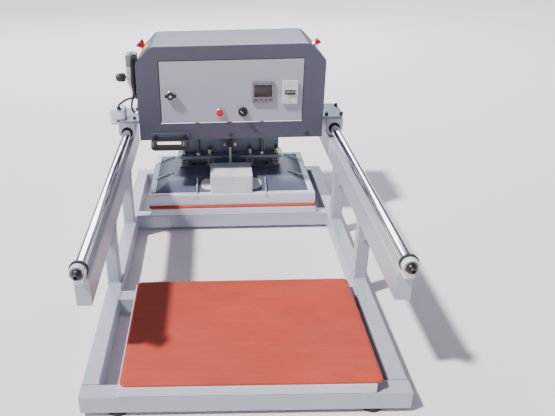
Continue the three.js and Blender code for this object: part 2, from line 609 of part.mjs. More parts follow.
// A push button on a shoulder: the shank passes through the sheet and the head stands clear.
function addShoulderButton(parent, name, sign, spec) {
  const { shank, shankLength, stem, baseRadius, headRadius, headHeight } = spec;
  const group = shoulderGroup(sign, spec.y, spec.along);
  const profile = [
    [0, -shankLength], [shank, -shankLength], [shank, stem], [baseRadius, stem],
    [baseRadius, stem + headHeight * HEAD_FLARE_START], [headRadius, stem + headHeight * HEAD_FLARE_END],
    [headRadius * HEAD_CROWN, stem + headHeight], [0, stem + headHeight],
  ];
  piece(group, name, turned(profile), 'redPlastic');
  parent.add(group);
}

function addRegulatorKnob(parent) {
  const { innerX, outerX, z, radius, grooves, grooveRadius } = REGULATOR_KNOB;
  const knob = cylinderX(radius, outerX - innerX, 0);
  const cutters = [];
  for (let groove = 0; groove < grooves; groove += 1) {
    const angle = (2 * Math.PI * groove) / grooves;
    const flute = cylinderX(grooveRadius, outerX - innerX - OVERLAP, OVERLAP, ROUND_SIDES / 3)
      .translate(0, radius * Math.cos(angle), radius * Math.sin(angle));
    cutters.push(flute);
  }
  piece(parent, 'regulator_knob', cut(knob, ...cutters), 'blackPlastic', [innerX, REGULATOR.y, z]);
}

// ---------------------------------------------------------------- door and its controls
function addDoorPanel(parent) {
  const { left, right, bottom, top, sheet, flange, flangeSheet } = DOOR;
  const tray = block([left, 0, bottom], [right, sheet + flange, top]);
  const pocketLow = [left + flangeSheet, sheet, bottom + flangeSheet];
  const pocketHigh = [right - flangeSheet, sheet + flange + OVERLAP, top - flangeSheet];
  const through = sheet + OVERLAP;
  const halfBody = CONTROLLER.body / 2 + TOUCH_GAP;
  const controllerHole = block(
    [CONTROLLER.x - halfBody, -OVERLAP, CONTROLLER.z - halfBody],
    [CONTROLLER.x + halfBody, through, CONTROLLER.z + halfBody]);
  const breakerHalfX = BREAKER_BODY.width / 2 + TOUCH_GAP;
  const breakerHalfZ = BREAKER_BODY.height / 2 + TOUCH_GAP;
  const breakerHole = block(
    [BREAKER.x - breakerHalfX, -OVERLAP, BREAKER.z - breakerHalfZ],
    [BREAKER.x + breakerHalfX, through, BREAKER.z + breakerHalfZ]);
  const roundHole = (spec, radius) => cylinderY(radius, -OVERLAP, through).translate(spec.x, 0, spec.z);
  const panel = cut(
    tray, block(pocketLow, pocketHigh), controllerHole, breakerHole, roundHole(START, START.hole),
    roundHole(SELECTOR, SELECTOR.shank + TOUCH_GAP), roundHole(LOCK, LOCK.shank + TOUCH_GAP));
  piece(parent, 'door_panel', panel, 'doorPaint', [0, HEAD.frontY, 0]);
}

function keyOffset(index) {
  return (index - (CONTROLLER_KEY_COUNT - 1) / 2) * CONTROLLER_KEY.pitch;
}

function addController(parent) {
  const { x, z, bezel, bezelDepth, body, bodyDepth } = CONTROLLER;
  const half = bezel / 2;
  const front = -TOUCH_GAP - bezelDepth;
  const frame = extrudeAlongY(roundedRect(-half, -half, half, half, FRAME.corner), front, -TOUCH_GAP);
  const rearCase = block([-body / 2, -TOUCH_GAP - OVERLAP, -body / 2], [body / 2, bodyDepth, body / 2]);
  const { width, height, depth } = CONTROLLER_SCREEN;
  const screenZ = CONTROLLER_SCREEN.z - z;
  const screen = block(
    [-width / 2, front - OVERLAP, screenZ - height / 2], [width / 2, front + depth, screenZ + height / 2]);
  const keyHoles = [];
  for (let index = 0; index < CONTROLLER_KEY_COUNT; index += 1) {
    const hole = cylinderY(CONTROLLER_KEY.holeRadius, front - OVERLAP, front + CONTROLLER_KEY.holeDepth)
      .translate(keyOffset(index), 0, CONTROLLER_KEY.z - z);
    keyHoles.push(hole);
  }
  const geometry = cut(join(frame, rearCase), screen, ...keyHoles);
  piece(parent, 'temperature_controller', geometry, 'greyPlastic', [x, HEAD.frontY, z]);
}

function addControllerKeys(parent) {
  const { radius, height, holeDepth, lift, z } = CONTROLLER_KEY;
  const floorY = HEAD.frontY - TOUCH_GAP - CONTROLLER.bezelDepth + holeDepth;
  for (let index = 0; index < CONTROLLER_KEY_COUNT; index += 1) {
    const key = cylinderY(radius, -lift - height, -lift);
    const position = [CONTROLLER.x + keyOffset(index), floorY, z];
    piece(parent, `controller_key_${index + 1}`, key, 'blackPlastic', position);
  }
}

function addBreaker(parent) {
  const { x, z, width, height, depth, slotWidth, slotHeight } = BREAKER;
  const coverOutline = roundedRect(-width / 2, -height / 2, width / 2, height / 2, FRAME.corner);
  const cover = extrudeAlongY(coverOutline, -TOUCH_GAP - depth, -TOUCH_GAP);
  const bodyX = BREAKER_BODY.width / 2;
  const bodyZ = BREAKER_BODY.height / 2;
  const body = block([-bodyX, -TOUCH_GAP - OVERLAP, -bodyZ], [bodyX, BREAKER_BODY.depth, bodyZ]);
  const slot = block(
    [-slotWidth / 2, -TOUCH_GAP - depth - OVERLAP, -slotHeight / 2],
    [slotWidth / 2, TOGGLE.radius + TOGGLE.axisInset, slotHeight / 2]);
  piece(parent, 'breaker', cut(join(cover, body), slot), 'whitePlastic', [x, HEAD.frontY, z]);
  const { radius, leverReach, leverThickness, axisInset } = TOGGLE;
  const axisY = HEAD.frontY - axisInset;
  const drum = cylinderX(radius, -TOGGLE.width / 2, TOGGLE.width / 2);
  const lever = block(
    [-TOGGLE.width / 2, -leverReach, -leverThickness / 2], [TOGGLE.width / 2, 0, leverThickness / 2]);
  const toggle = join(drum, lever).rotateX(-TOGGLE.restTilt);
  piece(parent, 'breaker_toggle', toggle, 'greyPlastic', [x, axisY, z]);
}

function addDoorControls(parent) {
  const { radius, length, proud } = START;
  const start = cylinderY(radius, -proud, length - proud);
  piece(parent, 'start_button', start, 'redPlastic', [START.x, HEAD.frontY, START.z]);
  const front = -TOUCH_GAP;
  const selector = join(
    cylinderY(SELECTOR.radius, front - SELECTOR.length, front),
    cylinderY(SELECTOR.shank, front - OVERLAP, SELECTOR.shankLength),
    block(
      [-SELECTOR.gripWidth / 2, front - SELECTOR.length - SELECTOR.gripHeight, -SELECTOR.radius],
      [SELECTOR.gripWidth / 2, front - SELECTOR.length + OVERLAP, SELECTOR.radius]));
  selector.rotateY(SELECTOR_REST_TURN);
  piece(parent, 'mode_selector', selector, 'blackPlastic', [SELECTOR.x, HEAD.frontY, SELECTOR.z]);
  const lock = join(
    cylinderY(LOCK.radius, front - LOCK.length, front),
    cylinderY(LOCK.shank, front - OVERLAP, LOCK.shankLength),
    block(
      [-LOCK.wing / 2, front - LOCK.length, -LOCK.wingWidth / 2],
      [LOCK.wing / 2, front - LOCK.wingRise, LOCK.wingWidth / 2]));
  piece(parent, 'door_lock_knob', lock, 'blackPlastic', [LOCK.x, HEAD.frontY, LOCK.z]);
}

// ---------------------------------------------------------------- press linkage
// The yoke: a flat plate pierced for the spring studs, a tube across its rear and two guide rods.
function addYoke(parent) {
  const { halfWidth, frontY, rearY, bottom, thickness, corner } = YOKE;
  const plateTop = bottom + thickness;
  const plate = extrudeUp(roundedRect(-halfWidth, frontY, halfWidth, rearY, corner), bottom, plateTop);
  const studHoles = SPRING_X.map((x) => (
    cylinderZ(STUD.radius + STUD.clearance, bottom - OVERLAP, plateTop + OVERLAP).translate(x, PRESS_Y, 0)));
  const notch = block(
    [YOKE_NOTCH.left, frontY - OVERLAP, bottom - OVERLAP],
    [YOKE_NOTCH.right, frontY + YOKE_NOTCH.depth, plateTop + OVERLAP]);
  const beamHalf = YOKE_BEAM.halfWidth;
  const beamTop = plateTop + YOKE_BEAM.height;
  const beam = block([-beamHalf, YOKE_BEAM.frontY, plateTop - OVERLAP], [beamHalf, rearY, beamTop]);
  const beamInside = block(
    [-beamHalf - OVERLAP, YOKE_BEAM.frontY + YOKE_BEAM.wall, plateTop + YOKE_BEAM.wall],
    [beamHalf + OVERLAP, rearY - YOKE_BEAM.wall, beamTop - YOKE_BEAM.wall]);
  const rods = [-GUIDE_ROD.x, GUIDE_ROD.x].map((x) => (
    cylinderZ(GUIDE_ROD.radius, plateTop - OVERLAP, GUIDE_ROD.top).translate(x, PRESS_Y, 0)));
  const geometry = join(cut(join(plate, beam), beamInside, notch, ...studHoles), ...rods);
  piece(parent, 'press_yoke', geometry, 'wingPaint');
}

function addPistonRod(parent) {
  const { width, depth, bottom, top } = CLEVIS;
  const chamberFloor = CYLINDER.bottom + CYLINDER.capThickness;
  const pistonLow = chamberFloor + TOUCH_GAP;
  const clevis = block([-width / 2, -depth / 2, bottom], [width / 2, depth / 2, top]);
  const rod = cylinderZ(PISTON.rod, top - OVERLAP, pistonLow + OVERLAP);
  const piston = cylinderZ(PISTON.head, pistonLow, pistonLow + PISTON.headHeight, FINE_SIDES);
  piece(parent, 'piston_rod', join(clevis, rod, piston), 'darkSteel', [0, PRESS_Y, 0]);
}

// The bar on the platen that carries four studs, one through each spring.
function addPressureBar(parent) {
  const { halfWidth, frontY, rearY, bottom, top, stripHeight } = PRESSURE_BAR;
  const bar = block([-halfWidth, frontY, bottom], [halfWidth, rearY, top]);
  const stripTop = bottom + stripHeight;
  const strip = block([-halfWidth, STRIP_FRONT_Y, bottom], [halfWidth, frontY + OVERLAP, stripTop]);
  const studs = SPRING_X.map((x) => (
    cylinderZ(STUD.radius, bottom + OVERLAP, STUD.top, ROUND_SIDES / 2).translate(x, PRESS_Y, 0)));
  piece(parent, 'pressure_bar', join(bar, strip, ...studs), 'wingPaint');
}

// A frustum between a lower and an upper rectangle, each given as [halfWidth, frontY, rearY, z].
function hipRoof(lower, upper) {
  const geometry = new THREE.BoxGeometry(2, 2, 2);
  const position = geometry.attributes.position;
  for (let index = 0; index < position.count; index += 1) {
    const [halfWidth, frontY, rearY, z] = position.getZ(index) > 0 ? upper : lower;
    const y = position.getY(index) > 0 ? rearY : frontY;
    position.setXYZ(index, position.getX(index) * halfWidth, y, z);
  }
  return geometry;
}

function addPlaten(parent) {
  const plate = block(
    [-PLATEN.halfWidth, PLATEN.frontY, PLATEN.bottom],
    [PLATEN.halfWidth, PLATEN.rearY, PLATEN.bottom + PLATEN.thickness]);
  piece(parent, 'heat_platen', plate, 'aluminium');

  const { halfWidth, frontY, rearY, bottom, top, sheet, flange } = RIM;
  const skirt = block([-halfWidth, frontY, bottom], [halfWidth, rearY, top]);
  const inside = block(
    [-halfWidth + sheet, frontY + sheet, bottom - OVERLAP], [halfWidth - sheet, rearY - sheet, top - sheet]);
  const mouth = block(
    [-halfWidth + flange, frontY + flange, bottom], [halfWidth - flange, rearY - flange, top + OVERLAP]);
  piece(parent, 'platen_rim', cut(skirt, inside, mouth), 'whiteBoard');

  const { sheet: coverSheet } = COVER;
  const plateau = COVER_PLATEAU;
  const outer = hipRoof(
    [COVER.halfWidth, COVER.frontY, COVER.rearY, COVER.bottom],
    [plateau.halfWidth, plateau.frontY, plateau.rearY, COVER.top]);
  const inner = hipRoof(
    [COVER.halfWidth - coverSheet * 2, COVER.frontY + coverSheet * 2, COVER.rearY - coverSheet * 2,
      COVER.bottom - coverSheet],
    [plateau.halfWidth, plateau.frontY, plateau.rearY, COVER.top - coverSheet]);
  piece(parent, 'platen_cover', cut(outer, inner), 'platenPaint');
}

function coverHeightAt(y) {
  const slope = (COVER.top - COVER.bottom) / (COVER_PLATEAU.frontY - COVER.frontY);
  return COVER.bottom + slope * (y - COVER.frontY);
}

// The terminal box on the cover's front slope, with a round ear on each side.
function addJunctionBox(parent) {
  const { halfWidth, frontY, rearY, top, sheet, corner, lift } = JUNCTION;
  const sideOutline = (inset, drop) => polygon([
    [frontY + inset, COVER.bottom + lift - drop], [COVER.frontY, COVER.bottom + lift - drop],
    [COVER_PLATEAU.frontY, COVER.top + lift - drop], [rearY - inset, COVER.top + lift - drop],
    [rearY - inset, top - inset], [frontY + inset, top - inset],
  ]);
  const plan = roundedRect(-halfWidth, frontY, halfWidth, rearY, corner);
  const casing = intersect(extrudeAlongX(sideOutline(0, 0), -halfWidth, halfWidth), extrudeUp(plan, 0, top));
  const inside = extrudeAlongX(sideOutline(sheet, sheet), -halfWidth + sheet, halfWidth - sheet);
  const { reach, halfDepth, corner: earCorner } = JUNCTION_EAR;
  const earY = (COVER.frontY + COVER_PLATEAU.frontY) / 2;
  const slope = Math.atan2(COVER.top - COVER.bottom, COVER_PLATEAU.frontY - COVER.frontY);
  const earHalf = halfWidth + reach;
  const ears = extrudeUp(roundedRect(-earHalf, -halfDepth, earHalf, halfDepth, earCorner), 0, sheet)
    .rotateX(slope)
    .translate(0, earY, coverHeightAt(earY) + lift);
  const leadHole = cylinderY(LEAD.hole, rearY - sheet - OVERLAP, rearY + OVERLAP).translate(0, 0, LEAD.exitZ);
  piece(parent, 'junction_box', cut(join(casing, ears), inside, leadHole), 'whitePlastic');
}

function addLead(parent) {
  const { radius, sides, steps } = LEAD;
  const route = LEAD_BEND.map(([y, z]) => [0, y, z]);
  piece(parent, 'heater_lead', tubeAlong(route, radius, sides, steps), 'leadSheath');
}

// ---------------------------------------------------------------- assembly
function buildMachine() {
  const machine = new THREE.Group();
  machine.position.set(-WIDTH_CENTRE_X, -FRAME.length / 2, FEET_HEIGHT);
  const builders = [
    addBaseTubes, addFeet, addPosts, addRails, addRailSupports, addStations,
    addCarriagePlate, addBearingBlocks, addHousing, addFacePlate, addHandle, addCylinder,
    addRegulator, addRegulatorKnob, addSwitchBox, addAirTubes, addGland,
    addDoorPanel, addController, addControllerKeys, addBreaker, addDoorControls,
    addYoke, addPistonRod, addPressureBar, addPlaten, addJunctionBox, addLead,
  ];
  for (const build of builders) build(machine);
  addShoulderButton(machine, 'emergency_stop', -1, ESTOP);
  addShoulderButton(machine, 'stop_button', 1, STOP_BUTTON);
  return machine;
}

const part = new THREE.Group();
part.add(buildMachine());
export default part;
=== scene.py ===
"""Looks of the shuttle heat press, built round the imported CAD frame. Metres, +Z up."""

import json
import math

import bmesh
import bpy
from mathutils import Matrix, Vector


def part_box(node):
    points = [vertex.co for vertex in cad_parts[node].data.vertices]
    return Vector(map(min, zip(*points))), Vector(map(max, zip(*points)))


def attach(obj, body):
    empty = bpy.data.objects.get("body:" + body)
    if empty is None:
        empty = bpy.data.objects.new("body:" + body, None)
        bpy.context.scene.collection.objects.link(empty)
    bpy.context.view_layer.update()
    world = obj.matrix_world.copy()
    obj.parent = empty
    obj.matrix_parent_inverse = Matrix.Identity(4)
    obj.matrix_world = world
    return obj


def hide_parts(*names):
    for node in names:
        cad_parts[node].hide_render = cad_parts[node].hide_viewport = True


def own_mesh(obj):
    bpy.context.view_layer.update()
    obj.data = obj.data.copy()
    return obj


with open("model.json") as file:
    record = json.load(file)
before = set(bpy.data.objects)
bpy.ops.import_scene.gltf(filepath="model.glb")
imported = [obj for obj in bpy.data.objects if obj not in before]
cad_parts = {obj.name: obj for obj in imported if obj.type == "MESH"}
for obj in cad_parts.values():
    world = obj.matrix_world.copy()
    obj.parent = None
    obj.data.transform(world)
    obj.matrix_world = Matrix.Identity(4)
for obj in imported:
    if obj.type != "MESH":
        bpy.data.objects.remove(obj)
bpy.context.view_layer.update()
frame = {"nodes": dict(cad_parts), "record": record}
nodes = frame["nodes"]

MM = 0.001
TUBE_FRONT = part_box("front_tube")
ORIGIN = Vector(((TUBE_FRONT[0].x + TUBE_FRONT[1].x) / 2, TUBE_FRONT[0].y, TUBE_FRONT[1].z))


def at(x, y, z):
    """A point of the machine, in millimetres from the middle of the front tube's top front edge."""
    return ORIGIN + Vector((x, y, z)) * MM


def centre(node):
    low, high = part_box(node)
    return (low + high) / 2


# ---------------------------------------------------------------- places on the machine, in millimetres
HEAD_HALF_WIDTH, SHOULDER_RUN, SHOULDER_Z, SHOULDER_RISE = 342, 58, 577, 58.5
BUTTON_Y, ESTOP_ALONG, STOP_ALONG = 1140, 0.54, 0.5
FACE_BOLTS = ((0.5, 303.5), (286, 303))
EARTH_SCREW = (181, 1029, 463)
REGULATOR_AXIS = (-364, 1092)
REGULATOR_Z = 514
TOGGLE_AXIS_Y, TOGGLE_TILT = 1025, math.radians(20)
PRESS_Y = 1187
STRIP_TOP_Z = 116.2  # seat of the springs on the pressure bar
YOKE_TOP_Z = 163.0
STUD_THREAD_Z = (117.6, 201.6)
CLEVIS_PIN_Y, CLEVIS_PIN_Z = PRESS_Y - 6, 207
YOKE_BEAM_Y, YOKE_BEAM_TOP_Z = 1224, 223
SPRING_X = (-189, -81.5, 81.5, 189)
GUIDE_ROD_X = 129
YOKE_BOLT_X = (-177, -79, 79, 177)
UPPER_TUBE = ((-342.3, 442), (-358.3, 442), (-390, 434), (-414, 418), (-420, 408), (-420, 399.3))
LOWER_TUBE = (
    (-342.3, 592), (-348, 592), (-354, 586), (-356, 572), (-356, 500), (-357.5, 460), (-367, 425),
    (-368, 402),
    (-360, 388), (-349, 384), (-342.3, 384),
)
BUNDLE_OFFSETS = ((-5.5, 2.5), (1.5, -4.8), (5.2, 2.0), (-3.5, -4.0))
LEAD_ROUTE = (
    (0, 1122, 134), (0, 1134, 136), (0, 1148, 150), (0, 1157, 180), (0, 1157, 230), (0, 1157, 286),
)
# Cover tension springs: upper end on the cover, lower end on the rim.
TENSION_SPRINGS = (
    ((-132, 1072, 114.5), (-134, 979, 84)), ((135, 1073, 114.5), (134, 979, 84)),
    ((-232, 1116, 114.5), (-303, 1130, 84)), ((232, 1112, 114.5), (309, 1126, 84)),
    ((-236, 1290, 114.5), (-303, 1300, 84)), ((238, 1292, 114.5), (309, 1302, 84)),
)
SIDES = (("left", -1), ("right", 1))
UP = Vector((0, 0, 1))
FRONT = Vector((0, -1, 0))


# ---------------------------------------------------------------- camera
SENSOR, LENS, SHIFT_X = 36.0, 38.96, 0.1252
CAMERA_PLACE = (-62.3, -1110.2, 1085.7)
CAMERA_YAW, CAMERA_PITCH, CAMERA_ROLL = (math.radians(a) for a in (-0.84, 27.0, -1.56))


def add_camera():
    yaw, pitch, roll = CAMERA_YAW, CAMERA_PITCH, CAMERA_ROLL
    forward = Vector((math.sin(yaw) * math.cos(pitch), math.cos(yaw) * math.cos(pitch), -math.sin(pitch)))
    level_right = Vector((math.cos(yaw), -math.sin(yaw), 0))
    level_up = level_right.cross(forward)
    right = level_right * math.cos(roll) + level_up * math.sin(roll)
    up = right.cross(forward)
    rotation = Matrix((right, up, -forward)).transposed().to_4x4()
    data = bpy.data.cameras.new("camera")
    data.sensor_width = SENSOR
    data.lens = LENS
    data.shift_x = SHIFT_X
    data.clip_end = 60
    camera = bpy.data.objects.new("camera", data)
    camera.matrix_world = Matrix.Translation(at(*CAMERA_PLACE)) @ rotation
    bpy.context.scene.collection.objects.link(camera)
    bpy.context.scene.camera = camera


# ---------------------------------------------------------------- light and floor
def add_light(kind, name, place, target, energy, colour, size):
    data = bpy.data.lights.new(name, kind)
    data.energy = energy
    data.color = colour
    if kind == "SUN":
        data.angle = size
    else:
        data.shape = "RECTANGLE"
        data.size, data.size_y = size
    light = bpy.data.objects.new(name, data)
    light.location = place
    light.rotation_euler = (Vector(target) - Vector(place)).to_track_quat("-Z", "Y").to_euler()
    bpy.context.scene.collection.objects.link(light)


def add_studio():
    add_light("SUN", "key_sun", (-3.4, -1.5, 5.4), (0, 0, 0), 5.8, (1.0, 0.985, 0.96), math.radians(4))
    add_light("AREA", "rear_softbox", (-0.5, 4.6, 2.9), (0, 0.5, 0.6), 210, (0.82, 0.89, 1.0), (4.4, 1.7))
    add_light("AREA", "front_softbox", (-2.6, -3.4, 2.4), (0, 0, 0.4), 5, (1.0, 0.98, 0.97), (2.6, 1.8))
    world = bpy.data.worlds.new("studio")
    world.use_nodes = True
    background = world.node_tree.nodes["Background"]
    background.inputs["Color"].default_value = (0.78, 0.78, 0.88, 1)
    background.inputs["Strength"].default_value = 0.30
    bpy.context.scene.world = world


def add_floor():
    half = 25
    mesh = bpy.data.meshes.new("floor")
    mesh.from_pydata([(-half, -half, 0), (half, -half, 0), (half, half, 0), (-half, half, 0)], [],
        [(0, 1, 2, 3)])
    floor = bpy.data.objects.new("floor", mesh)
    bpy.context.scene.collection.objects.link(floor)
    material = bpy.data.materials.new("pale_floor")
    material.use_nodes = True
    shader = material.node_tree.nodes["Principled BSDF"]
    shader.inputs["Base Color"].default_value = (0.93, 0.845, 0.885, 1)
    shader.inputs["Roughness"].default_value = 0.9
    mesh.materials.append(material)


# ---------------------------------------------------------------- materials
class Look:
    """A material with its node tree and small helpers that add nodes and links."""

    def __init__(self, name):
        self.material = bpy.data.materials.new(name)
        self.material.use_nodes = True
        self.tree = self.material.node_tree
        self.shader = self.tree.nodes["Principled BSDF"]
        self.coords = self.node("ShaderNodeTexCoord").outputs["Object"]

    def node(self, kind, **settings):
        node = self.tree.nodes.new(kind)
        for key, value in settings.items():
            setattr(node, key, value)
        return node

    def link(self, source, target):
        self.tree.links.new(source, target)

    def noise(self, scale, detail=3.0, roughness=0.55, stretch=(1, 1, 1)):
        mapping = self.node("ShaderNodeMapping")
        mapping.inputs["Scale"].default_value = stretch
        self.link(self.coords, mapping.inputs["Vector"])
        noise = self.node("ShaderNodeTexNoise")
        noise.inputs["Scale"].default_value = scale
        noise.inputs["Detail"].default_value = detail
        noise.inputs["Roughness"].default_value = roughness
        self.link(mapping.outputs["Vector"], noise.inputs["Vector"])
        return noise.outputs["Fac"]

    def ramp(self, source, stops):
        ramp = self.node("ShaderNodeValToRGB")
        elements = ramp.color_ramp.elements
        elements[0].position, elements[0].color = stops[0][0], (*stops[0][1], 1)
        elements[1].position, elements[1].color = stops[-1][0], (*stops[-1][1], 1)
        for position, colour in stops[1:-1]:
            elements.new(position).color = (*colour, 1)
        self.link(source, ramp.inputs["Fac"])
        return ramp.outputs["Color"]

    def range(self, source, low, high, from_low=0.3, from_high=0.7):
        remap = self.node("ShaderNodeMapRange")
        remap.inputs["From Min"].default_value = from_low
        remap.inputs["From Max"].default_value = from_high
        remap.inputs["To Min"].default_value = low
        remap.inputs["To Max"].default_value = high
        self.link(source, remap.inputs["Value"])
        return remap.outputs["Result"]

    def mix(self, factor, first, second):
        mix = self.node("ShaderNodeMix", data_type="RGBA")
        self.link(factor, mix.inputs["Factor"])
        for socket, value in ((mix.inputs["A"], first), (mix.inputs["B"], second)):
            if isinstance(value, tuple):
                socket.default_value = (*value, 1)
            else:
                self.link(value, socket)
        return mix.outputs["Result"]

    def bump(self, heights):
        """heights is a list of (source, distance in metres, strength)."""
        normal = None
        for source, distance, strength in heights:
            bump = self.node("ShaderNodeBump")
            bump.inputs["Distance"].default_value = distance
            bump.inputs["Strength"].default_value = strength
            self.link(source, bump.inputs["Height"])
            if normal:
                self.link(normal, bump.inputs["Normal"])
            normal = bump.outputs["Normal"]
        self.link(normal, self.shader.inputs["Normal"])


def shade(colour, factor):
    return tuple(min(1.0, channel * factor) for channel in colour)


def painted(name, colour, roughness=0.4, coat=0.0, dirt=0.06):
    """Powder coat: faint clouding, a few small rubbed specks and a very fine orange peel."""
    look = Look(name)
    cloudy = look.noise(7, 3)
    fine = look.noise(95, 3)
    base = look.ramp(cloudy, [(0.3, shade(colour, 1 - dirt)), (0.55, colour),
        (0.75, shade(colour, 1 + dirt / 2))])
    marks = look.range(fine, 0, 0.3, 0.70, 0.84)
    look.link(look.mix(marks, base, shade(colour, 0.75)), look.shader.inputs["Base Color"])
    look.link(look.range(fine, roughness - 0.03, roughness + 0.04), look.shader.inputs["Roughness"])
    look.shader.inputs["Coat Weight"].default_value = coat
    look.shader.inputs["Coat Roughness"].default_value = 0.25
    look.bump([(look.noise(420, 2), 0.00002, 0.25)])
    return look.material


def plastic(name, colour, roughness=0.4, grain=1600, depth=0.00006, coat=0.0):
    """Moulded plastic: spark-eroded grain, faint flow marks and handling shine."""
    look = Look(name)
    flow = look.noise(22, 3, stretch=(1, 1, 0.35))
    look.link(look.ramp(flow, [(0.3, shade(colour, 0.9)), (0.7, shade(colour, 1.08))]),
        look.shader.inputs["Base Color"])
    look.link(look.range(look.noise(75, 3), roughness - 0.08, roughness + 0.08),
        look.shader.inputs["Roughness"])
    look.shader.inputs["Coat Weight"].default_value = coat
    look.shader.inputs["Coat Roughness"].default_value = 0.12
    look.bump([(look.noise(grain, 2), depth, 0.5)])
    return look.material


def metal(name, colour, roughness=0.3, stretch=(1, 1, 1), scale=500, mottling=0.12):
    """Bare or plated metal: brushed or turned marks, patches of film and tiny pits."""
    look = Look(name)
    brushed = look.noise(scale, 4, 0.7, stretch)
    patches = look.noise(60, 3)
    low, high = shade(colour, 1 - mottling), shade(colour, 1 + mottling)
    look.link(look.ramp(patches, [(0.3, low), (0.7, high)]), look.shader.inputs["Base Color"])
    look.link(look.range(brushed, roughness * 0.7, roughness * 1.4), look.shader.inputs["Roughness"])
    look.shader.inputs["Metallic"].default_value = 1.0
    look.bump([(brushed, 0.00003, 0.4)])
    return look.material


def rubber(name, colour, roughness=0.75, grain=700, depth=0.00015, sheen=0.15):
    look = Look(name)
    bloom = look.noise(35, 4)
    look.link(look.ramp(bloom, [(0.35, colour), (0.75, shade(colour, 1.6))]),
        look.shader.inputs["Base Color"])
    look.link(look.range(bloom, roughness - 0.1, roughness + 0.1), look.shader.inputs["Roughness"])
    look.shader.inputs["Sheen Weight"].default_value = sheen
    look.bump([(look.noise(grain, 3), depth, 0.5)])
    return look.material


def silicone(name, colour):
    """Sponge silicone: matt skin with fine pores darkened by painted shade, long soft waves and paler rubbed
    streaks.
    """
    look = Look(name)
    broad = look.noise(4.5, 4, 0.6, (1, 1.8, 1))
    streaks = look.noise(16, 3, 0.6, (0.5, 3.5, 1))
    base = look.ramp(broad, [(0.28, shade(colour, 0.86)), (0.5, colour), (0.74, shade(colour, 1.16))])
    rubbed = look.mix(look.range(streaks, 0, 0.35, 0.5, 0.75), base, (0.50, 0.10, 0.07))
    pores = look.node("ShaderNodeTexVoronoi", feature="F1")
    pores.inputs["Scale"].default_value = 900
    look.link(look.coords, pores.inputs["Vector"])
    # painted shade: the colour darkens towards the middle of each pore, where shade would fall in the hollow
    pore_shade = look.range(pores.outputs["Distance"], 0.55, 0, 0.05, 0.30)
    look.link(look.mix(pore_shade, rubbed, shade(colour, 0.62)), look.shader.inputs["Base Color"])
    look.link(look.range(streaks, 0.62, 0.82), look.shader.inputs["Roughness"])
    look.shader.inputs["Sheen Weight"].default_value = 0.12
    look.bump([(pores.outputs["Distance"], 0.0002, 0.35), (look.noise(260, 3), 0.0002, 0.3)])
    return look.material


def window_glass(name, colour):
    look = Look(name)
    haze = look.noise(40, 3)
    look.link(look.ramp(haze, [(0.3, colour), (0.7, shade(colour, 1.5))]), look.shader.inputs["Base Color"])
    look.link(look.range(haze, 0.22, 0.34), look.shader.inputs["Roughness"])
    look.shader.inputs["Coat Weight"].default_value = 0.2
    look.shader.inputs["Coat Roughness"].default_value = 0.05
    return look.material


LOOKS = {
    "frame_paint": painted("frame_powder_coat", (0.42, 0.45, 0.535), 0.38, 0.15),
    "head_paint": painted("head_powder_coat", (0.070, 0.077, 0.118), 0.40, 0.25),
    "door_paint": painted("door_paint", (0.46, 0.465, 0.555), 0.5, 0.05, 0.03),
    "wing_paint": painted("wing_paint", (0.19, 0.235, 0.31), 0.38, 0.2),
    "platen_paint": painted("platen_cover_paint", (0.105, 0.122, 0.18), 0.46, 0.08),
    "white_board": painted("white_sheet_paint", (0.66, 0.695, 0.80), 0.40, 0.1),
    "chrome": metal("hard_chrome", (0.72, 0.73, 0.76), 0.10, (1, 0.02, 1), 900, 0.04),
    "dark_steel": metal("oiled_steel", (0.09, 0.09, 0.10), 0.42),
    "zinc_steel": metal("zinc_plate", (0.72, 0.72, 0.70), 0.28),
    "brass": metal("brass", (0.62, 0.45, 0.20), 0.32),
    "aluminium": metal("cast_aluminium", (0.60, 0.61, 0.63), 0.4, (1, 1, 1), 300),
    "rubber": rubber("black_rubber", (0.018, 0.018, 0.02)),
    "lead_sheath": rubber("lead_sheath", (0.40, 0.385, 0.385), 0.55, 900, 0.00004),
    "silicone": silicone("silicone_sponge", (0.49, 0.052, 0.026)),
    "white_plastic": plastic("white_plastic", (0.72, 0.735, 0.80), 0.32, coat=0.1),
    "cream_plastic": plastic("cream_plastic", (0.66, 0.64, 0.56), 0.42),
    "black_plastic": plastic("black_plastic", (0.018, 0.018, 0.022), 0.4, 1300, 0.00005),
    "grey_plastic": plastic("grey_plastic", (0.16, 0.165, 0.21), 0.38),
    "red_plastic": plastic("red_plastic", (0.62, 0.006, 0.035), 0.28, coat=0.3),
    "yellow_plate": plastic("yellow_plate", (0.85, 0.60, 0.05), 0.4),
    "screen_dark": window_glass("controller_window", (0.022, 0.023, 0.03)),
}
YELLOW_ZINC = metal("yellow_zinc_plate", (0.50, 0.485, 0.38), 0.36)


# ---------------------------------------------------------------- carried-over CAD nodes
def smooth_by_angle_group():
    group = bpy.data.node_groups.new("smooth_by_angle", "GeometryNodeTree")
    group.interface.new_socket("Geometry", in_out="INPUT", socket_type="NodeSocketGeometry")
    group.interface.new_socket("Geometry", in_out="OUTPUT", socket_type="NodeSocketGeometry")
    entry = group.nodes.new("NodeGroupInput")
    leave = group.nodes.new("NodeGroupOutput")
    faces = group.nodes.new("GeometryNodeSetShadeSmooth")
    edges = group.nodes.new("GeometryNodeSetShadeSmooth")
    edges.domain = "EDGE"
    angle = group.nodes.new("GeometryNodeInputMeshEdgeAngle")
    compare = group.nodes.new("FunctionNodeCompare")
    compare.operation = "LESS_THAN"
    compare.inputs["B"].default_value = math.radians(32)
    link = group.links.new
    link(entry.outputs["Geometry"], faces.inputs["Geometry"])
    link(angle.outputs["Unsigned Angle"], compare.inputs["A"])
    link(faces.outputs["Geometry"], edges.inputs["Geometry"])
    link(compare.outputs["Result"], edges.inputs["Shade Smooth"])
    link(edges.outputs["Geometry"], leave.inputs["Geometry"])
    return group


SMOOTH_GROUP = smooth_by_angle_group()


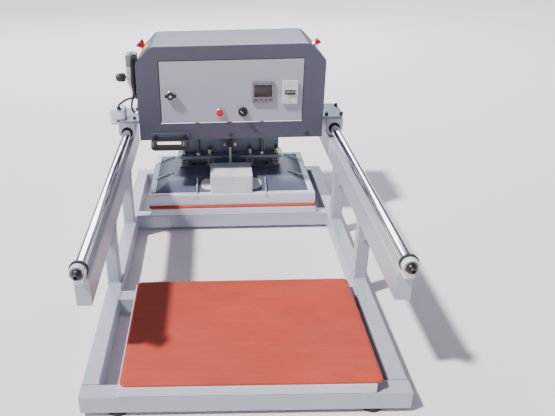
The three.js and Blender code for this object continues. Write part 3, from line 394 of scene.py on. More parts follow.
def soften(obj, width):
    """Merges the facets' shared points, joins flat facets and rounds every sharp edge."""
    weld = obj.modifiers.new("weld", "WELD")
    weld.merge_threshold = 0.00002
    flat = obj.modifiers.new("flat_facets", "DECIMATE")
    flat.decimate_type = "DISSOLVE"
    flat.angle_limit = math.radians(1.0)
    if width > 0:
        bevel = obj.modifiers.new("rounded_edges", "BEVEL")
        bevel.width = width
        bevel.segments = 2
        bevel.limit_method = "ANGLE"
        bevel.angle_limit = math.radians(38)
    smooth = obj.modifiers.new("smooth_by_angle", "NODES")
    smooth.node_group = SMOOTH_GROUP
    steady = obj.modifiers.new("flat_face_normals", "WEIGHTED_NORMAL")
    steady.keep_sharp = True
    steady.weight = 90


EDGE_WIDTHS = {
    "carriage_plate": 0.0008, "door_panel": 0.0006, "face_plate": 0.001, "head_housing": 0.0008,
    "platen_rim": 0.0007, "platen_cover": 0.0012, "push_handle": 0.003, "temperature_controller": 0.0008,
    "breaker": 0.001, "breaker_toggle": 0.0006, "junction_box": 0.0015, "press_yoke": 0.001,
    "left_rail": 0, "right_rail": 0, "left_bearing_block": 0.0012, "right_bearing_block": 0.0012,
    "mode_selector": 0.0008, "door_lock_knob": 0.0012, "start_button": 0.001,
}
DEFAULT_EDGE_WIDTH = 0.001


def dress_cad_nodes():
    slots = {row["node"]: row["material_slot"] for row in frame["record"]["subparts"]}
    for name, obj in nodes.items():
        obj.data.materials.clear()
        obj.data.materials.append(LOOKS[slots[name]])
        soften(obj, EDGE_WIDTHS.get(name, DEFAULT_EDGE_WIDTH))


# ---------------------------------------------------------------- mesh pieces
def mesh_piece(name, bm, slot, body, sharp=35, look=None):
    bmesh.ops.recalc_face_normals(bm, faces=bm.faces)
    limit = math.radians(sharp)
    for face in bm.faces:
        face.smooth = True
    for edge in bm.edges:
        if len(edge.link_faces) == 2 and edge.calc_face_angle(0) > limit:
            edge.smooth = False
    mesh = bpy.data.meshes.new(name)
    bm.to_mesh(mesh)
    bm.free()
    mesh.materials.append(look or LOOKS[slot])
    piece = bpy.data.objects.new(name, mesh)
    bpy.context.scene.collection.objects.link(piece)
    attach(piece, body)
    return piece


def hexagon(apothem):
    """The radius of a hexagon at each angle, in the unit of the apothem."""
    return lambda angle: apothem / math.cos((angle % (math.pi / 3)) - math.pi / 6)


def lathe(bm, rings, place, direction, segments=36, spin=0.0, close=False):
    """A turned piece at place along direction. Each ring is (radius, height) in millimetres.

    A radius may also be a function of the angle, which gives metres.
    """
    turn = Vector(direction).normalized().to_track_quat("Z", "Y").to_matrix().to_4x4()
    matrix = Matrix.Translation(place) @ turn @ Matrix.Rotation(spin, 4, "Z")
    loops = []
    for radius, height in rings:
        loop = []
        for step in range(segments):
            angle = 2 * math.pi * step / segments
            reach = radius(angle) if callable(radius) else radius * MM
            point = Vector((reach * math.cos(angle), reach * math.sin(angle), height * MM))
            loop.append(bm.verts.new(matrix @ point))
        loops.append(loop)
    pairs = list(zip(loops, loops[1:]))
    if close:
        pairs.append((loops[-1], loops[0]))
    for first, second in pairs:
        for step in range(segments):
            following = (step + 1) % segments
            bm.faces.new((first[step], first[following], second[following], second[step]))
    if not close:
        bm.faces.new(loops[0][::-1])
        bm.faces.new(loops[-1])


def add_socket_screw(bm, place, direction, head=13.0, height=8.0, spin=0.0):
    radius = head / 2
    key = hexagon(radius * 0.48 * MM)
    rings = [
        (radius, 0), (radius, height * 0.82), (radius * 0.97, height * 0.93), (radius * 0.88, height),
        (radius * 0.58, height), (key, height * 0.94), (key, height * 0.4),
    ]
    lathe(bm, rings, place, direction, 36, spin=spin)


def add_hex_head(bm, place, direction, flats=13.0, height=6.0, spin=0.0):
    apothem = flats / 2
    rings = [
        (hexagon(apothem * 0.96 * MM), 0), (hexagon(apothem * MM), height * 0.08),
        (hexagon(apothem * MM), height * 0.85), (apothem * 0.94, height), (apothem * 0.9, height),
    ]
    lathe(bm, rings, place, direction, 36, spin=spin)


def add_washer(bm, place, direction, outer=20.0, hole=5.2, height=1.6):
    edge = 0.3
    rings = [
        (hole, 0), (outer / 2 - edge, 0), (outer / 2, edge), (outer / 2, height - edge),
        (outer / 2 - edge, height), (hole, height),
    ]
    lathe(bm, rings, place, direction, 32, close=True)


def add_pan_screw(bm, place, direction, head=7.0, height=2.4, spin=0.4):
    """A small domed screw with a hexagon recess."""
    radius = head / 2
    key = hexagon(radius * 0.42 * MM)
    rings = [
        (radius, 0), (radius * 0.98, height * 0.3), (radius * 0.86, height * 0.68),
        (radius * 0.62, height * 0.93),
        (radius * 0.5, height), (key, height * 0.95), (key, height * 0.35),
    ]
    lathe(bm, rings, place, direction, 24, spin=spin)


def smooth_route(points, per_span=8):
    """A Catmull-Rom curve through the points."""
    route = []
    padded = [points[0] * 2 - points[1], *points, points[-1] * 2 - points[-2]]
    for index in range(1, len(padded) - 2):
        a, b, c, d = padded[index - 1: index + 3]
        for step in range(per_span):
            t = step / per_span
            route.append(0.5 * (
                2 * b + (c - a) * t + (2 * a - 5 * b + 4 * c - d) * t * t + (3 * b - a - 3 * c + d) * t ** 3))
    route.append(points[-1])
    return route


def add_tube(bm, route, radius, sides=14, taper=None):
    """A round tube along a list of points, with its ends closed."""
    tangent = (route[1] - route[0]).normalized()
    side = tangent.orthogonal().normalized()
    loops = []
    for index, point in enumerate(route):
        ahead = route[min(index + 1, len(route) - 1)]
        behind = route[max(index - 1, 0)]
        tangent = (ahead - behind).normalized()
        side = (side - tangent * side.dot(tangent)).normalized()
        other = tangent.cross(side)
        reach = radius * (taper(index / (len(route) - 1)) if taper else 1)
        loop = []
        for step in range(sides):
            angle = 2 * math.pi * step / sides
            loop.append(bm.verts.new(point + (side * math.cos(angle) + other * math.sin(angle)) * reach))
        loops.append(loop)
    for first, second in zip(loops, loops[1:]):
        for step in range(sides):
            following = (step + 1) % sides
            bm.faces.new((first[step], first[following], second[following], second[step]))
    bm.faces.new(loops[0][::-1])
    bm.faces.new(loops[-1])


def add_box(bm, low, high, bevel=0.0, segments=2, matrix=None):
    """A block between two corners, with rounded edges."""
    low, high = Vector(low), Vector(high)
    made = bmesh.ops.create_cube(bm, size=1.0)
    size = high - low
    transform = Matrix.Translation((low + high) / 2) @ Matrix.Diagonal((*size, 1))
    if matrix:
        transform = matrix @ transform
    bmesh.ops.transform(bm, matrix=transform, verts=made["verts"])
    if bevel:
        edges = dict.fromkeys(edge for vert in made["verts"] for edge in vert.link_edges)
        bmesh.ops.bevel(bm, geom=list(edges), offset=bevel, segments=segments, profile=0.5, affect="EDGES")


def helix_route(base, top, radius, turns, closed_turns=0.9, per_turn=28):
    """A compression spring's centre line, with its end coils lying flat."""
    height = (top - base).length
    axis = (top - base).normalized()
    side = axis.orthogonal().normalized()
    other = axis.cross(side)
    route = []
    count = int(turns * per_turn)
    for step in range(count + 1):
        turn = turns * step / count
        free = (turn - closed_turns) / (turns - 2 * closed_turns)
        rise = min(max(free, 0.0), 1.0)
        rise = rise * rise * (3 - 2 * rise) * 0.25 + rise * 0.75
        angle = 2 * math.pi * turn
        route.append(base + axis * height * rise
            + (side * math.cos(angle) + other * math.sin(angle)) * radius)
    return route




# ---------------------------------------------------------------- base frame details
def add_bumpers_and_rail_screws():
    for side, _ in SIDES:
        rail_low, rail_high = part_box(f"{side}_rail")
        x, z = (rail_low.x + rail_high.x) / 2, (rail_low.z + rail_high.z) / 2
        hole = (rail_high.x - rail_low.x) / 2 / MM + 0.3
        for row, sense in (("front", 1), ("rear", -1)):
            low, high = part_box(f"{row}_{side}_rail_support")
            inner = low.y + 13 * MM if sense > 0 else high.y - 13 * MM
            place = Vector((x, inner + sense * 0.3 * MM, z))
            rings = [
                (hole, 0), (21.5, 0), (23.4, 0.8), (24.2, 3), (23.6, 5), (22.8, 5.8), (23.8, 7), (23.4, 9.4),
                (21.4, 10.8), (hole, 10.8),
            ]
            bm = bmesh.new()
            lathe(bm, rings, place, (0, sense, 0), 64, close=True)
            mesh_piece(f"{row}_{side}_bumper", bm, "rubber", "base_frame")
            end = Vector((x, rail_low.y if sense > 0 else rail_high.y, z))
            outward = (0, -sense, 0)
            screw = bmesh.new()
            add_washer(screw, end, outward, 29, 4, 1.2)
            taper = [
                (11.4, 1.2), (11.4, 2.4), (10.6, 3.4), (8.2, 12.5), (7.9, 15.5), (7.2, 16.4),
                (hexagon(4.4 * MM), 16.4),
                (hexagon(4.2 * MM), 10), (1, 9.4),
            ]
            lathe(screw, taper, end, outward, 48, spin=0.3)
            mesh_piece(f"{row}_{side}_rail_screw", screw, "dark_steel", "base_frame")
            collar = bmesh.new()
            face = low.y if sense > 0 else high.y
            lip = [
                (16.2, 0), (20.8, 0), (20.8, -2.6), (20.2, -3.8), (19, -4.4), (18, -4.2), (17.2, -3),
                (16.6, -1.2),
                (16.2, -1),
            ]
            lathe(collar, lip, Vector((x, face, z)), (0, sense, 0), 64, close=True)
            mesh_piece(f"{row}_{side}_rail_collar", collar, "white_plastic", "base_frame")


def add_weld_beads():
    """Fillet welds where the posts meet the beams and the tubes meet each other."""
    bead = 2.6 * MM
    for side, sign in SIDES:
        for row in ("front", "rear"):
            low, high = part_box(f"{row}_{side}_post")
            post_front = high.y - 40 * MM
            bm = bmesh.new()
            for z, lift in ((low.z, 0.6 * MM), (high.z, -0.6 * MM)):
                corners = [
                    Vector((low.x, post_front, z + lift)), Vector((high.x, post_front, z + lift)),
                    Vector((high.x, high.y, z + lift)), Vector((low.x, high.y, z + lift)),
                ]
                for first, second in zip(corners, corners[1:] + corners[:1]):
                    add_weld(bm, first, second, bead)
            mesh_piece(f"{row}_{side}_post_welds", bm, "frame_paint", "base_frame", 60)
        cross = bmesh.new()
        for node in ("front_cross_tube", "rear_cross_tube"):
            low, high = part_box(node)
            x = low.x if sign < 0 else high.x
            add_weld(cross, Vector((x, low.y, high.z)), Vector((x, high.y, high.z)), bead)
            add_weld(cross, Vector((x, low.y, high.z)), Vector((x, low.y, low.z)), bead)
            add_weld(cross, Vector((x, high.y, high.z)), Vector((x, high.y, low.z)), bead)
        mesh_piece(f"{side}_cross_tube_welds", cross, "frame_paint", "base_frame", 60)


def add_weld(bm, first, second, radius):
    """A rippled bead between two points."""
    steps = max(6, int((second - first).length / (2.2 * MM)))
    route = [first.lerp(second, step / steps) for step in range(steps + 1)]

    def ripple(share):
        return 0.9 + 0.16 * math.sin(share * steps * math.pi * 0.9) + 0.05 * math.sin(share * 31)

    add_tube(bm, route, radius, 7, ripple)


def add_foot_details():
    """Moulded feet: a flared tread with a groove, a waist and a seat under the tube."""
    for row in ("front", "rear"):
        for side, _ in SIDES:
            node = f"{row}_{side}_foot"
            low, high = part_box(node)
            middle = (low + high) / 2
            height = (high.z - low.z) / MM
            rings = [
                (6, 1.2), (17, 1.2), (18, 0), (25.6, 0), (27.4, 0.7), (27.98, 2), (27.98, 3.4), (27.2, 4.2),
                (27.2, 4.8),
                (27.9, 5.4), (27.6, 6.6), (26.2, 7.8), (25.8, height - 1.6), (26.6, height - 0.8),
                (26.4, height),
                (6, height),
            ]
            bm = bmesh.new()
            place = Vector((middle.x, middle.y, low.z))
            lathe(bm, rings, place, UP, 64, close=True)
            foot = mesh_piece(f"{node}_moulding", bm, "rubber", "base_frame", 30)
            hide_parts(node)


# ---------------------------------------------------------------- pads
def add_pad(node, body, lift):
    """A sponge pad: soft rounded rim, gentle waves on top and one front corner that springs up a little."""
    low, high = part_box(node)
    middle, size = (low + high) / 2, high - low
    corner, soft = 12 * MM, 2.0 * MM
    across, along = 60, 42

    def wave(x, y):
        near_edge = min(size.x / 2 - abs(x), size.y / 2 - abs(y))
        calm = min(1.0, max(0.0, near_edge / 0.05))
        return (math.sin(x * 19 + y * 8) + 0.8 * math.sin(y * 23 - x * 6) - 1.8) * 0.22 * MM * calm

    def sprung(x, y):
        reach = math.hypot(x + size.x / 2, y + size.y / 2) / 0.04
        return lift * max(0.0, 1 - reach) ** 2

    bm = bmesh.new()
    grid = {}
    for i in range(across + 1):
        for j in range(along + 1):
            x = (i / across - 0.5) * size.x
            y = (j / along - 0.5) * size.y
            over_x = abs(x) - (size.x / 2 - corner)
            over_y = abs(y) - (size.y / 2 - corner)
            if over_x > 0 and over_y > 0:
                reach = math.hypot(over_x, over_y)
                pull = corner * max(over_x, over_y) / corner / reach
                x = math.copysign(size.x / 2 - corner + over_x * pull, x)
                y = math.copysign(size.y / 2 - corner + over_y * pull, y)
            rim = i in (0, across) or j in (0, along)
            inset = 1 - soft / (size.x / 2) if rim else 1.0
            top = bm.verts.new((
                middle.x + x * inset, middle.y + y * inset,
                high.z - 0.5 * MM * rim + wave(x, y) + sprung(x, y)))
            grid[i, j] = (top, x, y)
    for i in range(across):
        for j in range(along):
            bm.faces.new([grid[cell][0] for cell in ((i, j), (i + 1, j), (i + 1, j + 1), (i, j + 1))])
    edge_cells = (
        [(i, 0) for i in range(across)] + [(across, j) for j in range(along)]
        + [(i, along) for i in range(across, 0, -1)] + [(0, j) for j in range(along, 0, -1)]
    )
    rings = [[grid[cell][0] for cell in edge_cells]]
    for inset, z, share in ((0.0, high.z - soft, 1.0), (0.0, low.z + soft, 0.9), (0.8 * MM, low.z, 0.9)):
        ring = []
        for cell in edge_cells:
            _, x, y = grid[cell]
            shrink_x, shrink_y = 1 - inset / (size.x / 2), 1 - inset / (size.y / 2)
            ring.append(bm.verts.new((
                middle.x + x * shrink_x, middle.y + y * shrink_y, z + sprung(x, y) * share)))
        rings.append(ring)
    for first, second in zip(rings, rings[1:]):
        for step in range(len(first)):
            following = (step + 1) % len(first)
            bm.faces.new((first[step], second[step], second[following], first[following]))
    bm.faces.new(rings[-1])
    pad = mesh_piece(f"{node}_sponge", bm, "silicone", body, 60)
    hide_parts(node)
    return pad


# ---------------------------------------------------------------- head details
def add_face_fasteners():
    face_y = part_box("face_plate")[0].y
    bm = bmesh.new()
    for x, z in FACE_BOLTS:
        place = at(x, 0, z)
        place.y = face_y
        add_washer(bm, place, FRONT, 15, 3, 1.2)
        add_socket_screw(bm, place + FRONT * 1.2 * MM, FRONT, 11, 6, 0.2)
    mesh_piece("face_plate_bolts", bm, "dark_steel", "carriage")


def add_prism(bm, outline, low_x, high_x, bevel=0.0):
    """A prism whose outline is a list of (y, z) points, with rounded edges."""
    first = [bm.verts.new((low_x, y, z)) for y, z in outline]
    second = [bm.verts.new((high_x, y, z)) for y, z in outline]
    count = len(outline)
    faces = [bm.faces.new(first), bm.faces.new(second[::-1])]
    for step in range(count):
        following = (step + 1) % count
        faces.append(bm.faces.new((first[step], second[step], second[following], first[following])))
    if bevel:
        edges = list(dict.fromkeys(edge for face in faces for edge in face.edges))
        bmesh.ops.bevel(bm, geom=edges, offset=bevel, segments=3, profile=0.5, affect="EDGES")


def rounded_loop(low_x, high_x, low_z, high_z, radii, steps=8):
    """Points of a rounded rectangle in X and Z; radii are for the two lower and the two upper corners."""
    points = []
    lower, upper = radii
    corners = ((1, 1, upper), (-1, 1, upper), (-1, -1, lower), (1, -1, lower))
    for quarter, (side, top, radius) in enumerate(corners):
        x = high_x - radius if side > 0 else low_x + radius
        z = high_z - radius if top > 0 else low_z + radius
        for step in range(steps + 1):
            angle = math.pi / 2 * (quarter + step / steps)
            points.append((x + radius * math.cos(angle), z + radius * math.sin(angle)))
    return points


def add_handle():
    """Moulded grip with a slot behind it, hung under a painted fixing plate."""
    low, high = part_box("push_handle")
    plate, plate_height = 6 * MM, 26 * MM
    depth, lean = 20 * MM, 22 * MM
    top = high.z - plate_height + 4 * MM
    bm = bmesh.new()
    outer = rounded_loop(low.x, high.x, low.z, top, (17 * MM, 5 * MM))
    inner = rounded_loop(low.x + 23 * MM, high.x - 23 * MM, low.z + 17 * MM, top - 5 * MM, (4 * MM, 3 * MM))

    def leaned(x, face, z):
        share = min(1.0, max(0.0, (z - low.z - 12 * MM) / (top - low.z - 12 * MM)))
        return (x, face + lean * share, z)

    front, rear = low.y, low.y + depth
    rings = [
        [bm.verts.new(leaned(x, face, z)) for x, z in loop]
        for loop, face in ((outer, rear), (outer, front), (inner, front), (inner, rear))
    ]
    for first, second in zip(rings, rings[1:] + rings[:1]):
        for step in range(len(first)):
            following = (step + 1) % len(first)
            bm.faces.new((first[step], first[following], second[following], second[step]))
    edges = [bm.edges.get((ring[step], ring[step - 1])) for ring in rings for step in range(len(ring))]
    bmesh.ops.bevel(bm, geom=edges, offset=4 * MM, segments=4, profile=0.5, affect="EDGES",
        clamp_overlap=True)
    for end in (low.x + 3 * MM, high.x - 21 * MM):
        add_box(bm, (end, low.y + 26 * MM, top - 10 * MM),
            (end + 18 * MM, high.y - plate - 0.2 * MM, top - MM), 2.5 * MM, 3)
    grip = mesh_piece("push_handle_grip", bm, "black_plastic", "carriage", 60)
    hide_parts("push_handle")
    strip = bmesh.new()
    add_box(
        strip, (low.x + 2 * MM, high.y - plate, high.z - plate_height), (high.x + 4 * MM, high.y, high.z),
        1.6 * MM, 3)
    mesh_piece("push_handle_plate", strip, "head_paint", "carriage", 40)
    screws = bmesh.new()
    for x in (low.x + 16 * MM, high.x - 16 * MM):
        place = Vector((x, high.y - plate, high.z - plate_height / 2))
        add_washer(screws, place, FRONT, 16, 3, 1.0)
        add_socket_screw(screws, place + FRONT * MM, FRONT, 12, 6, 0.5)
    mesh_piece("push_handle_screws", screws, "dark_steel", "carriage")


def shoulder_axis(sign, along, y):
    """Base point and outward direction of a button on the left (-1) or right (+1) shoulder."""
    place = at(sign * (HEAD_HALF_WIDTH - SHOULDER_RUN * along), y, SHOULDER_Z + SHOULDER_RISE * along)
    return place, Vector((sign * SHOULDER_RISE, 0, SHOULDER_RUN)).normalized()


def add_emergency_stop():
    place, outward = shoulder_axis(-1, ESTOP_ALONG, BUTTON_Y)
    plate = bmesh.new()
    add_washer(plate, place, outward, 59, 10.3, 1.8)
    mesh_piece("emergency_stop_plate", plate, "yellow_plate", "carriage")
    collar = bmesh.new()
    rings = [(10.2, 1.8), (14.5, 1.8), (14.5, 4.2), (12.6, 4.8), (12.6, 7.4), (11.9, 8.2), (10.2, 8.2)]
    lathe(collar, rings, place, outward, 48, close=True)
    mesh_piece("emergency_stop_collar", collar, "white_plastic", "carriage")
    nut = bmesh.new()
    inner = [(10.2, -2.8), (15, -2.8), (15, -6.5), (14, -7), (10.2, -7)]
    lathe(nut, inner, place, outward, 36, close=True)
    mesh_piece("emergency_stop_lock_nut", nut, "black_plastic", "carriage")
    head = bmesh.new()
    profile = [
        (9.2, -34), (10, -33), (10, 8.6), (10, 14.6), (11.8, 15), (12.4, 15.5), (12.8, 17.5), (14.2, 21),
        (16.2, 25), (18.1, 28.2), (18.8, 29.2), (18.8, 29.7), (18.4, 30.3), (17.3, 31.2), (15.5, 32.0),
        (8, 32.4),
    ]
    lathe(head, profile, place, outward, 64)
    button = mesh_piece("emergency_stop_head", head, "red_plastic", "emergency_head", 50)
    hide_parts("emergency_stop")


def add_stop_button():
    place, outward = shoulder_axis(1, STOP_ALONG, BUTTON_Y)
    collar = bmesh.new()
    rings = [(8.2, 0.1), (14.4, 0.1), (14.6, 1), (13.4, 5), (13, 7.6), (12, 8.4), (8.2, 8.4)]
    lathe(collar, rings, place, outward, 48, close=True)
    mesh_piece("stop_button_collar", collar, "zinc_steel", "carriage")
    head = bmesh.new()
    profile = [
        (7.4, -26), (8, -25.4), (8, 12.8), (11, 13), (11.5, 13.5), (11.8, 18), (12.5, 20), (12.5, 22.4),
        (11.9, 24), (10.4, 24.8), (5, 25),
    ]
    lathe(head, profile, place, outward, 56)
    button = mesh_piece("stop_button_head", head, "red_plastic", "stop_head", 50)
    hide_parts("stop_button")


def add_rear_vents():
    """Pressed louvres and the fixing screws of the head's rear wall."""
    low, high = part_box("head_housing")
    louvres = bmesh.new()
    width, pitch, rise = 62 * MM, 14 * MM, 9 * MM
    for column in (-1, 1):
        for row in range(7):
            x = ORIGIN.x + column * 165 * MM
            z = low.z + 175 * MM + row * pitch
            reach = 4.5 * MM
            outline = [
                (high.y - 0.2 * MM, z), (high.y + reach, z), (high.y + reach * 0.93, z + 2 * MM),
                (high.y + reach * 0.55, z + rise * 0.62), (high.y - 0.2 * MM, z + rise),
            ]
            add_prism(louvres, outline, x - width / 2, x + width / 2, 0.8 * MM)
    mesh_piece("rear_louvres", louvres, "head_paint", "carriage", 50)
    screws = bmesh.new()
    for x in (-300, -100, 100, 300):
        for z in (310, 560):
            place = at(x, 0, z)
            place.y = high.y
            add_pan_screw(screws, place, -FRONT, 9, 3, x * 0.7)
    mesh_piece("rear_wall_screws", screws, "dark_steel", "carriage")


def add_gland_parts():
    low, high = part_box("cord_gland")
    middle = (low + high) / 2
    bm = bmesh.new()
    apothem = 13.4
    rings = [
        (11.2, 0), (hexagon(apothem * 0.97 * MM), 0), (hexagon(apothem * MM), 0.8),
        (hexagon(apothem * MM), 7.4),
        (12.6, 8.4), (11.2, 8.4),
    ]
    place = Vector((middle.x, low.y + 6.2 * MM, middle.z))
    lathe(bm, rings, place, -FRONT, 48, close=True)
    mesh_piece("cord_gland_nut", bm, "black_plastic", "carriage")


# ---------------------------------------------------------------- door details
def add_window_and_keys():
    low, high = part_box("temperature_controller")
    middle = (low + high) / 2
    front = low.y
    window_z = middle.z + 7 * MM
    half = Vector((32.6, 0, 22.6)) * MM
    glass = bmesh.new()
    add_box(
        glass, (middle.x - half.x, front + 0.5 * MM, window_z - half.z),
        (middle.x + half.x, front + 1.55 * MM, window_z + half.z), 0.3 * MM)
    mesh_piece("controller_window", glass, "screen_dark", "door")
    rings = bmesh.new()
    for index in range(4):
        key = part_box(f"controller_key_{index + 1}")
        place = (key[0] + key[1]) / 2
        place.y = front
        rim = [(4.6, -0.1), (5.9, -0.1), (5.9, 0.3), (5.5, 0.55), (4.9, 0.55), (4.6, 0.3)]
        lathe(rings, rim, place, FRONT, 28, close=True)
    mesh_piece("controller_key_rings", rings, "aluminium", "door")
    trim = bmesh.new()
    add_frame(trim, middle.x, middle.z, 39.2 * MM, 39.2 * MM, 1.3 * MM, front - 0.5 * MM, front + 0.2 * MM)
    add_frame(trim, middle.x, window_z, 34.2 * MM, 24.2 * MM, 1.0 * MM, front - 0.35 * MM, front + 0.2 * MM)
    mesh_piece("controller_trim", trim, "aluminium", "door")


def add_frame(bm, x, z, half_x, half_z, width, front, rear):
    """A flat rectangular frame in the X-Z plane."""
    outline = []
    for inset in (0.0, width):
        corners = ((-1, -1), (1, -1), (1, 1), (-1, 1))
        outline.append([(x + sx * (half_x - inset), z + sz * (half_z - inset)) for sx, sz in corners])
    loops = [
        [bm.verts.new((px, y, pz)) for px, pz in ring]
        for ring, y in ((outline[0], rear), (outline[0], front), (outline[1], front), (outline[1], rear))
    ]
    for first, second in zip(loops, loops[1:] + loops[:1]):
        for step in range(4):
            following = (step + 1) % 4
            bm.faces.new((first[step], first[following], second[following], second[step]))


def add_breaker_parts():
    low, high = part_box("breaker")
    middle = (low + high) / 2
    front = low.y
    screws = bmesh.new()
    for drop in (35, -35):
        place = Vector((middle.x - 2 * MM, front, middle.z + drop * MM))
        add_pan_screw(screws, place, FRONT, 6.4, 1.4, drop)
    mesh_piece("breaker_screws", screws, "zinc_steel", "door")
    studs = bmesh.new()
    for drop in (25, -24):
        lathe(studs, [(1.9, -0.1), (1.9, 0.4), (1.5, 0.7), (0.6, 0.8)],
            Vector((middle.x - 2 * MM, front, middle.z + drop * MM)), FRONT, 16)
    mesh_piece("breaker_marker_studs", studs, "grey_plastic", "door")
    surround = bmesh.new()
    add_frame(surround, middle.x, middle.z, 21 * MM, 11 * MM, 1.9 * MM, front - 0.9 * MM, front + 0.2 * MM)
    mesh_piece("breaker_window_frame", surround, "white_plastic", "door")
    seam = bmesh.new()
    for drop in (17.5, -17.5):
        z = middle.z + drop * MM
        add_box(
            seam, (low.x + 3 * MM, front - 0.45 * MM, z - 0.5 * MM),
            (high.x - 3 * MM, front + 0.1 * MM, z + 0.5 * MM),
            0.2 * MM)
    mesh_piece("breaker_cover_ridges", seam, "white_plastic", "door")
    ribs = bmesh.new()
    for step in range(5):
        across = (-12 + step * 6) * MM
        pivot = Vector((middle.x + across, at(0, TOGGLE_AXIS_Y, 0).y, middle.z))
        turn = Matrix.Translation(pivot) @ Matrix.Rotation(-TOGGLE_TILT, 4, "X")
        add_box(ribs, (-1.1 * MM, -12.6 * MM, -2.9 * MM), (1.1 * MM, -6.5 * MM, 2.9 * MM), 0.4 * MM,
            matrix=turn)
    mesh_piece("breaker_toggle_ribs", ribs, "aluminium", "toggle")


def add_panel_controls():
    door_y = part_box("door_panel")[0].y
    start = centre("start_button")
    ring = bmesh.new()
    profile = [(13.4, 0.1), (17.4, 0.1), (17.6, 1.2), (16.6, 4.8), (15.4, 6), (14, 6), (13.4, 5.2)]
    lathe(ring, profile, Vector((start.x, door_y, start.z)), FRONT, 48, close=True)
    mesh_piece("start_button_ring", ring, "zinc_steel", "door")
    cap = bmesh.new()
    low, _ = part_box("start_button")
    dome = [(12.9, -0.2), (12.9, 0.15), (12.2, 0.9), (9.5, 1.5), (5, 1.85), (1, 1.95)]
    lathe(cap, dome, Vector((start.x, low.y, start.z)), FRONT, 40)
    mesh_piece("start_button_dome", cap, "red_plastic", "start", 60)
    selector = centre("mode_selector")
    base = bmesh.new()
    profile = [(14.3, 0.1), (17.4, 0.1), (17.6, 0.9), (16.9, 3.6), (15.9, 4.6), (14.3, 4.6)]
    lathe(base, profile, Vector((selector.x, door_y, selector.z)), FRONT, 48, close=True)
    mesh_piece("mode_selector_ring", base, "black_plastic", "door")
    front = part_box("mode_selector")[0].y
    mark = bmesh.new()
    turn = Matrix.Translation(Vector((selector.x, front, selector.z))) @ Matrix.Rotation(-math.pi / 4, 4, "Y")
    add_box(mark, (-1.3 * MM, -0.5 * MM, 1.5 * MM), (1.3 * MM, 0.2 * MM, 13.2 * MM), 0.25 * MM, matrix=turn)
    mesh_piece("mode_selector_mark", mark, "white_plastic", "selector")
    lock = centre("door_lock_knob")
    rosette = bmesh.new()
    profile = [(13.3, 0.1), (17.2, 0.1), (17.2, 2.2), (16.2, 3.4), (13.3, 3.6)]
    lathe(rosette, profile, Vector((lock.x, door_y, lock.z)), FRONT, 48, close=True)
    mesh_piece("door_lock_rosette", rosette, "zinc_steel", "door")
    lock_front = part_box("door_lock_knob")[0].y
    cap = bmesh.new()
    profile = [(5.2, -0.2), (5.2, 0.5), (4.6, 1.0), (2.5, 1.2), (1, 1.2)]
    lathe(cap, profile, Vector((lock.x, lock_front, lock.z)), FRONT, 36)
    mesh_piece("door_lock_cap", cap, "zinc_steel", "lock")
    brass = bmesh.new()
    place = at(*EARTH_SCREW)
    place.y = door_y
    add_pan_screw(brass, place, FRONT, 6, 2, 0.3)
    mesh_piece("door_earth_screw", brass, "brass", "door")
    knuckles = bmesh.new()
    door_low, door_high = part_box("door_panel")
    hinge_x = door_high.x + 1.5 * MM
    for z in (door_low.z + 32 * MM, door_high.z - 32 * MM):
        place = Vector((hinge_x, at(0, 1030, 0).y, z - 11 * MM))
        profile = [(1.15, 0), (1.42, 0.2), (1.42, 21.8), (1.15, 22)]
        lathe(knuckles, profile, place, UP, 16, close=True)
    mesh_piece("door_hinge_knuckles", knuckles, "dark_steel", "carriage")


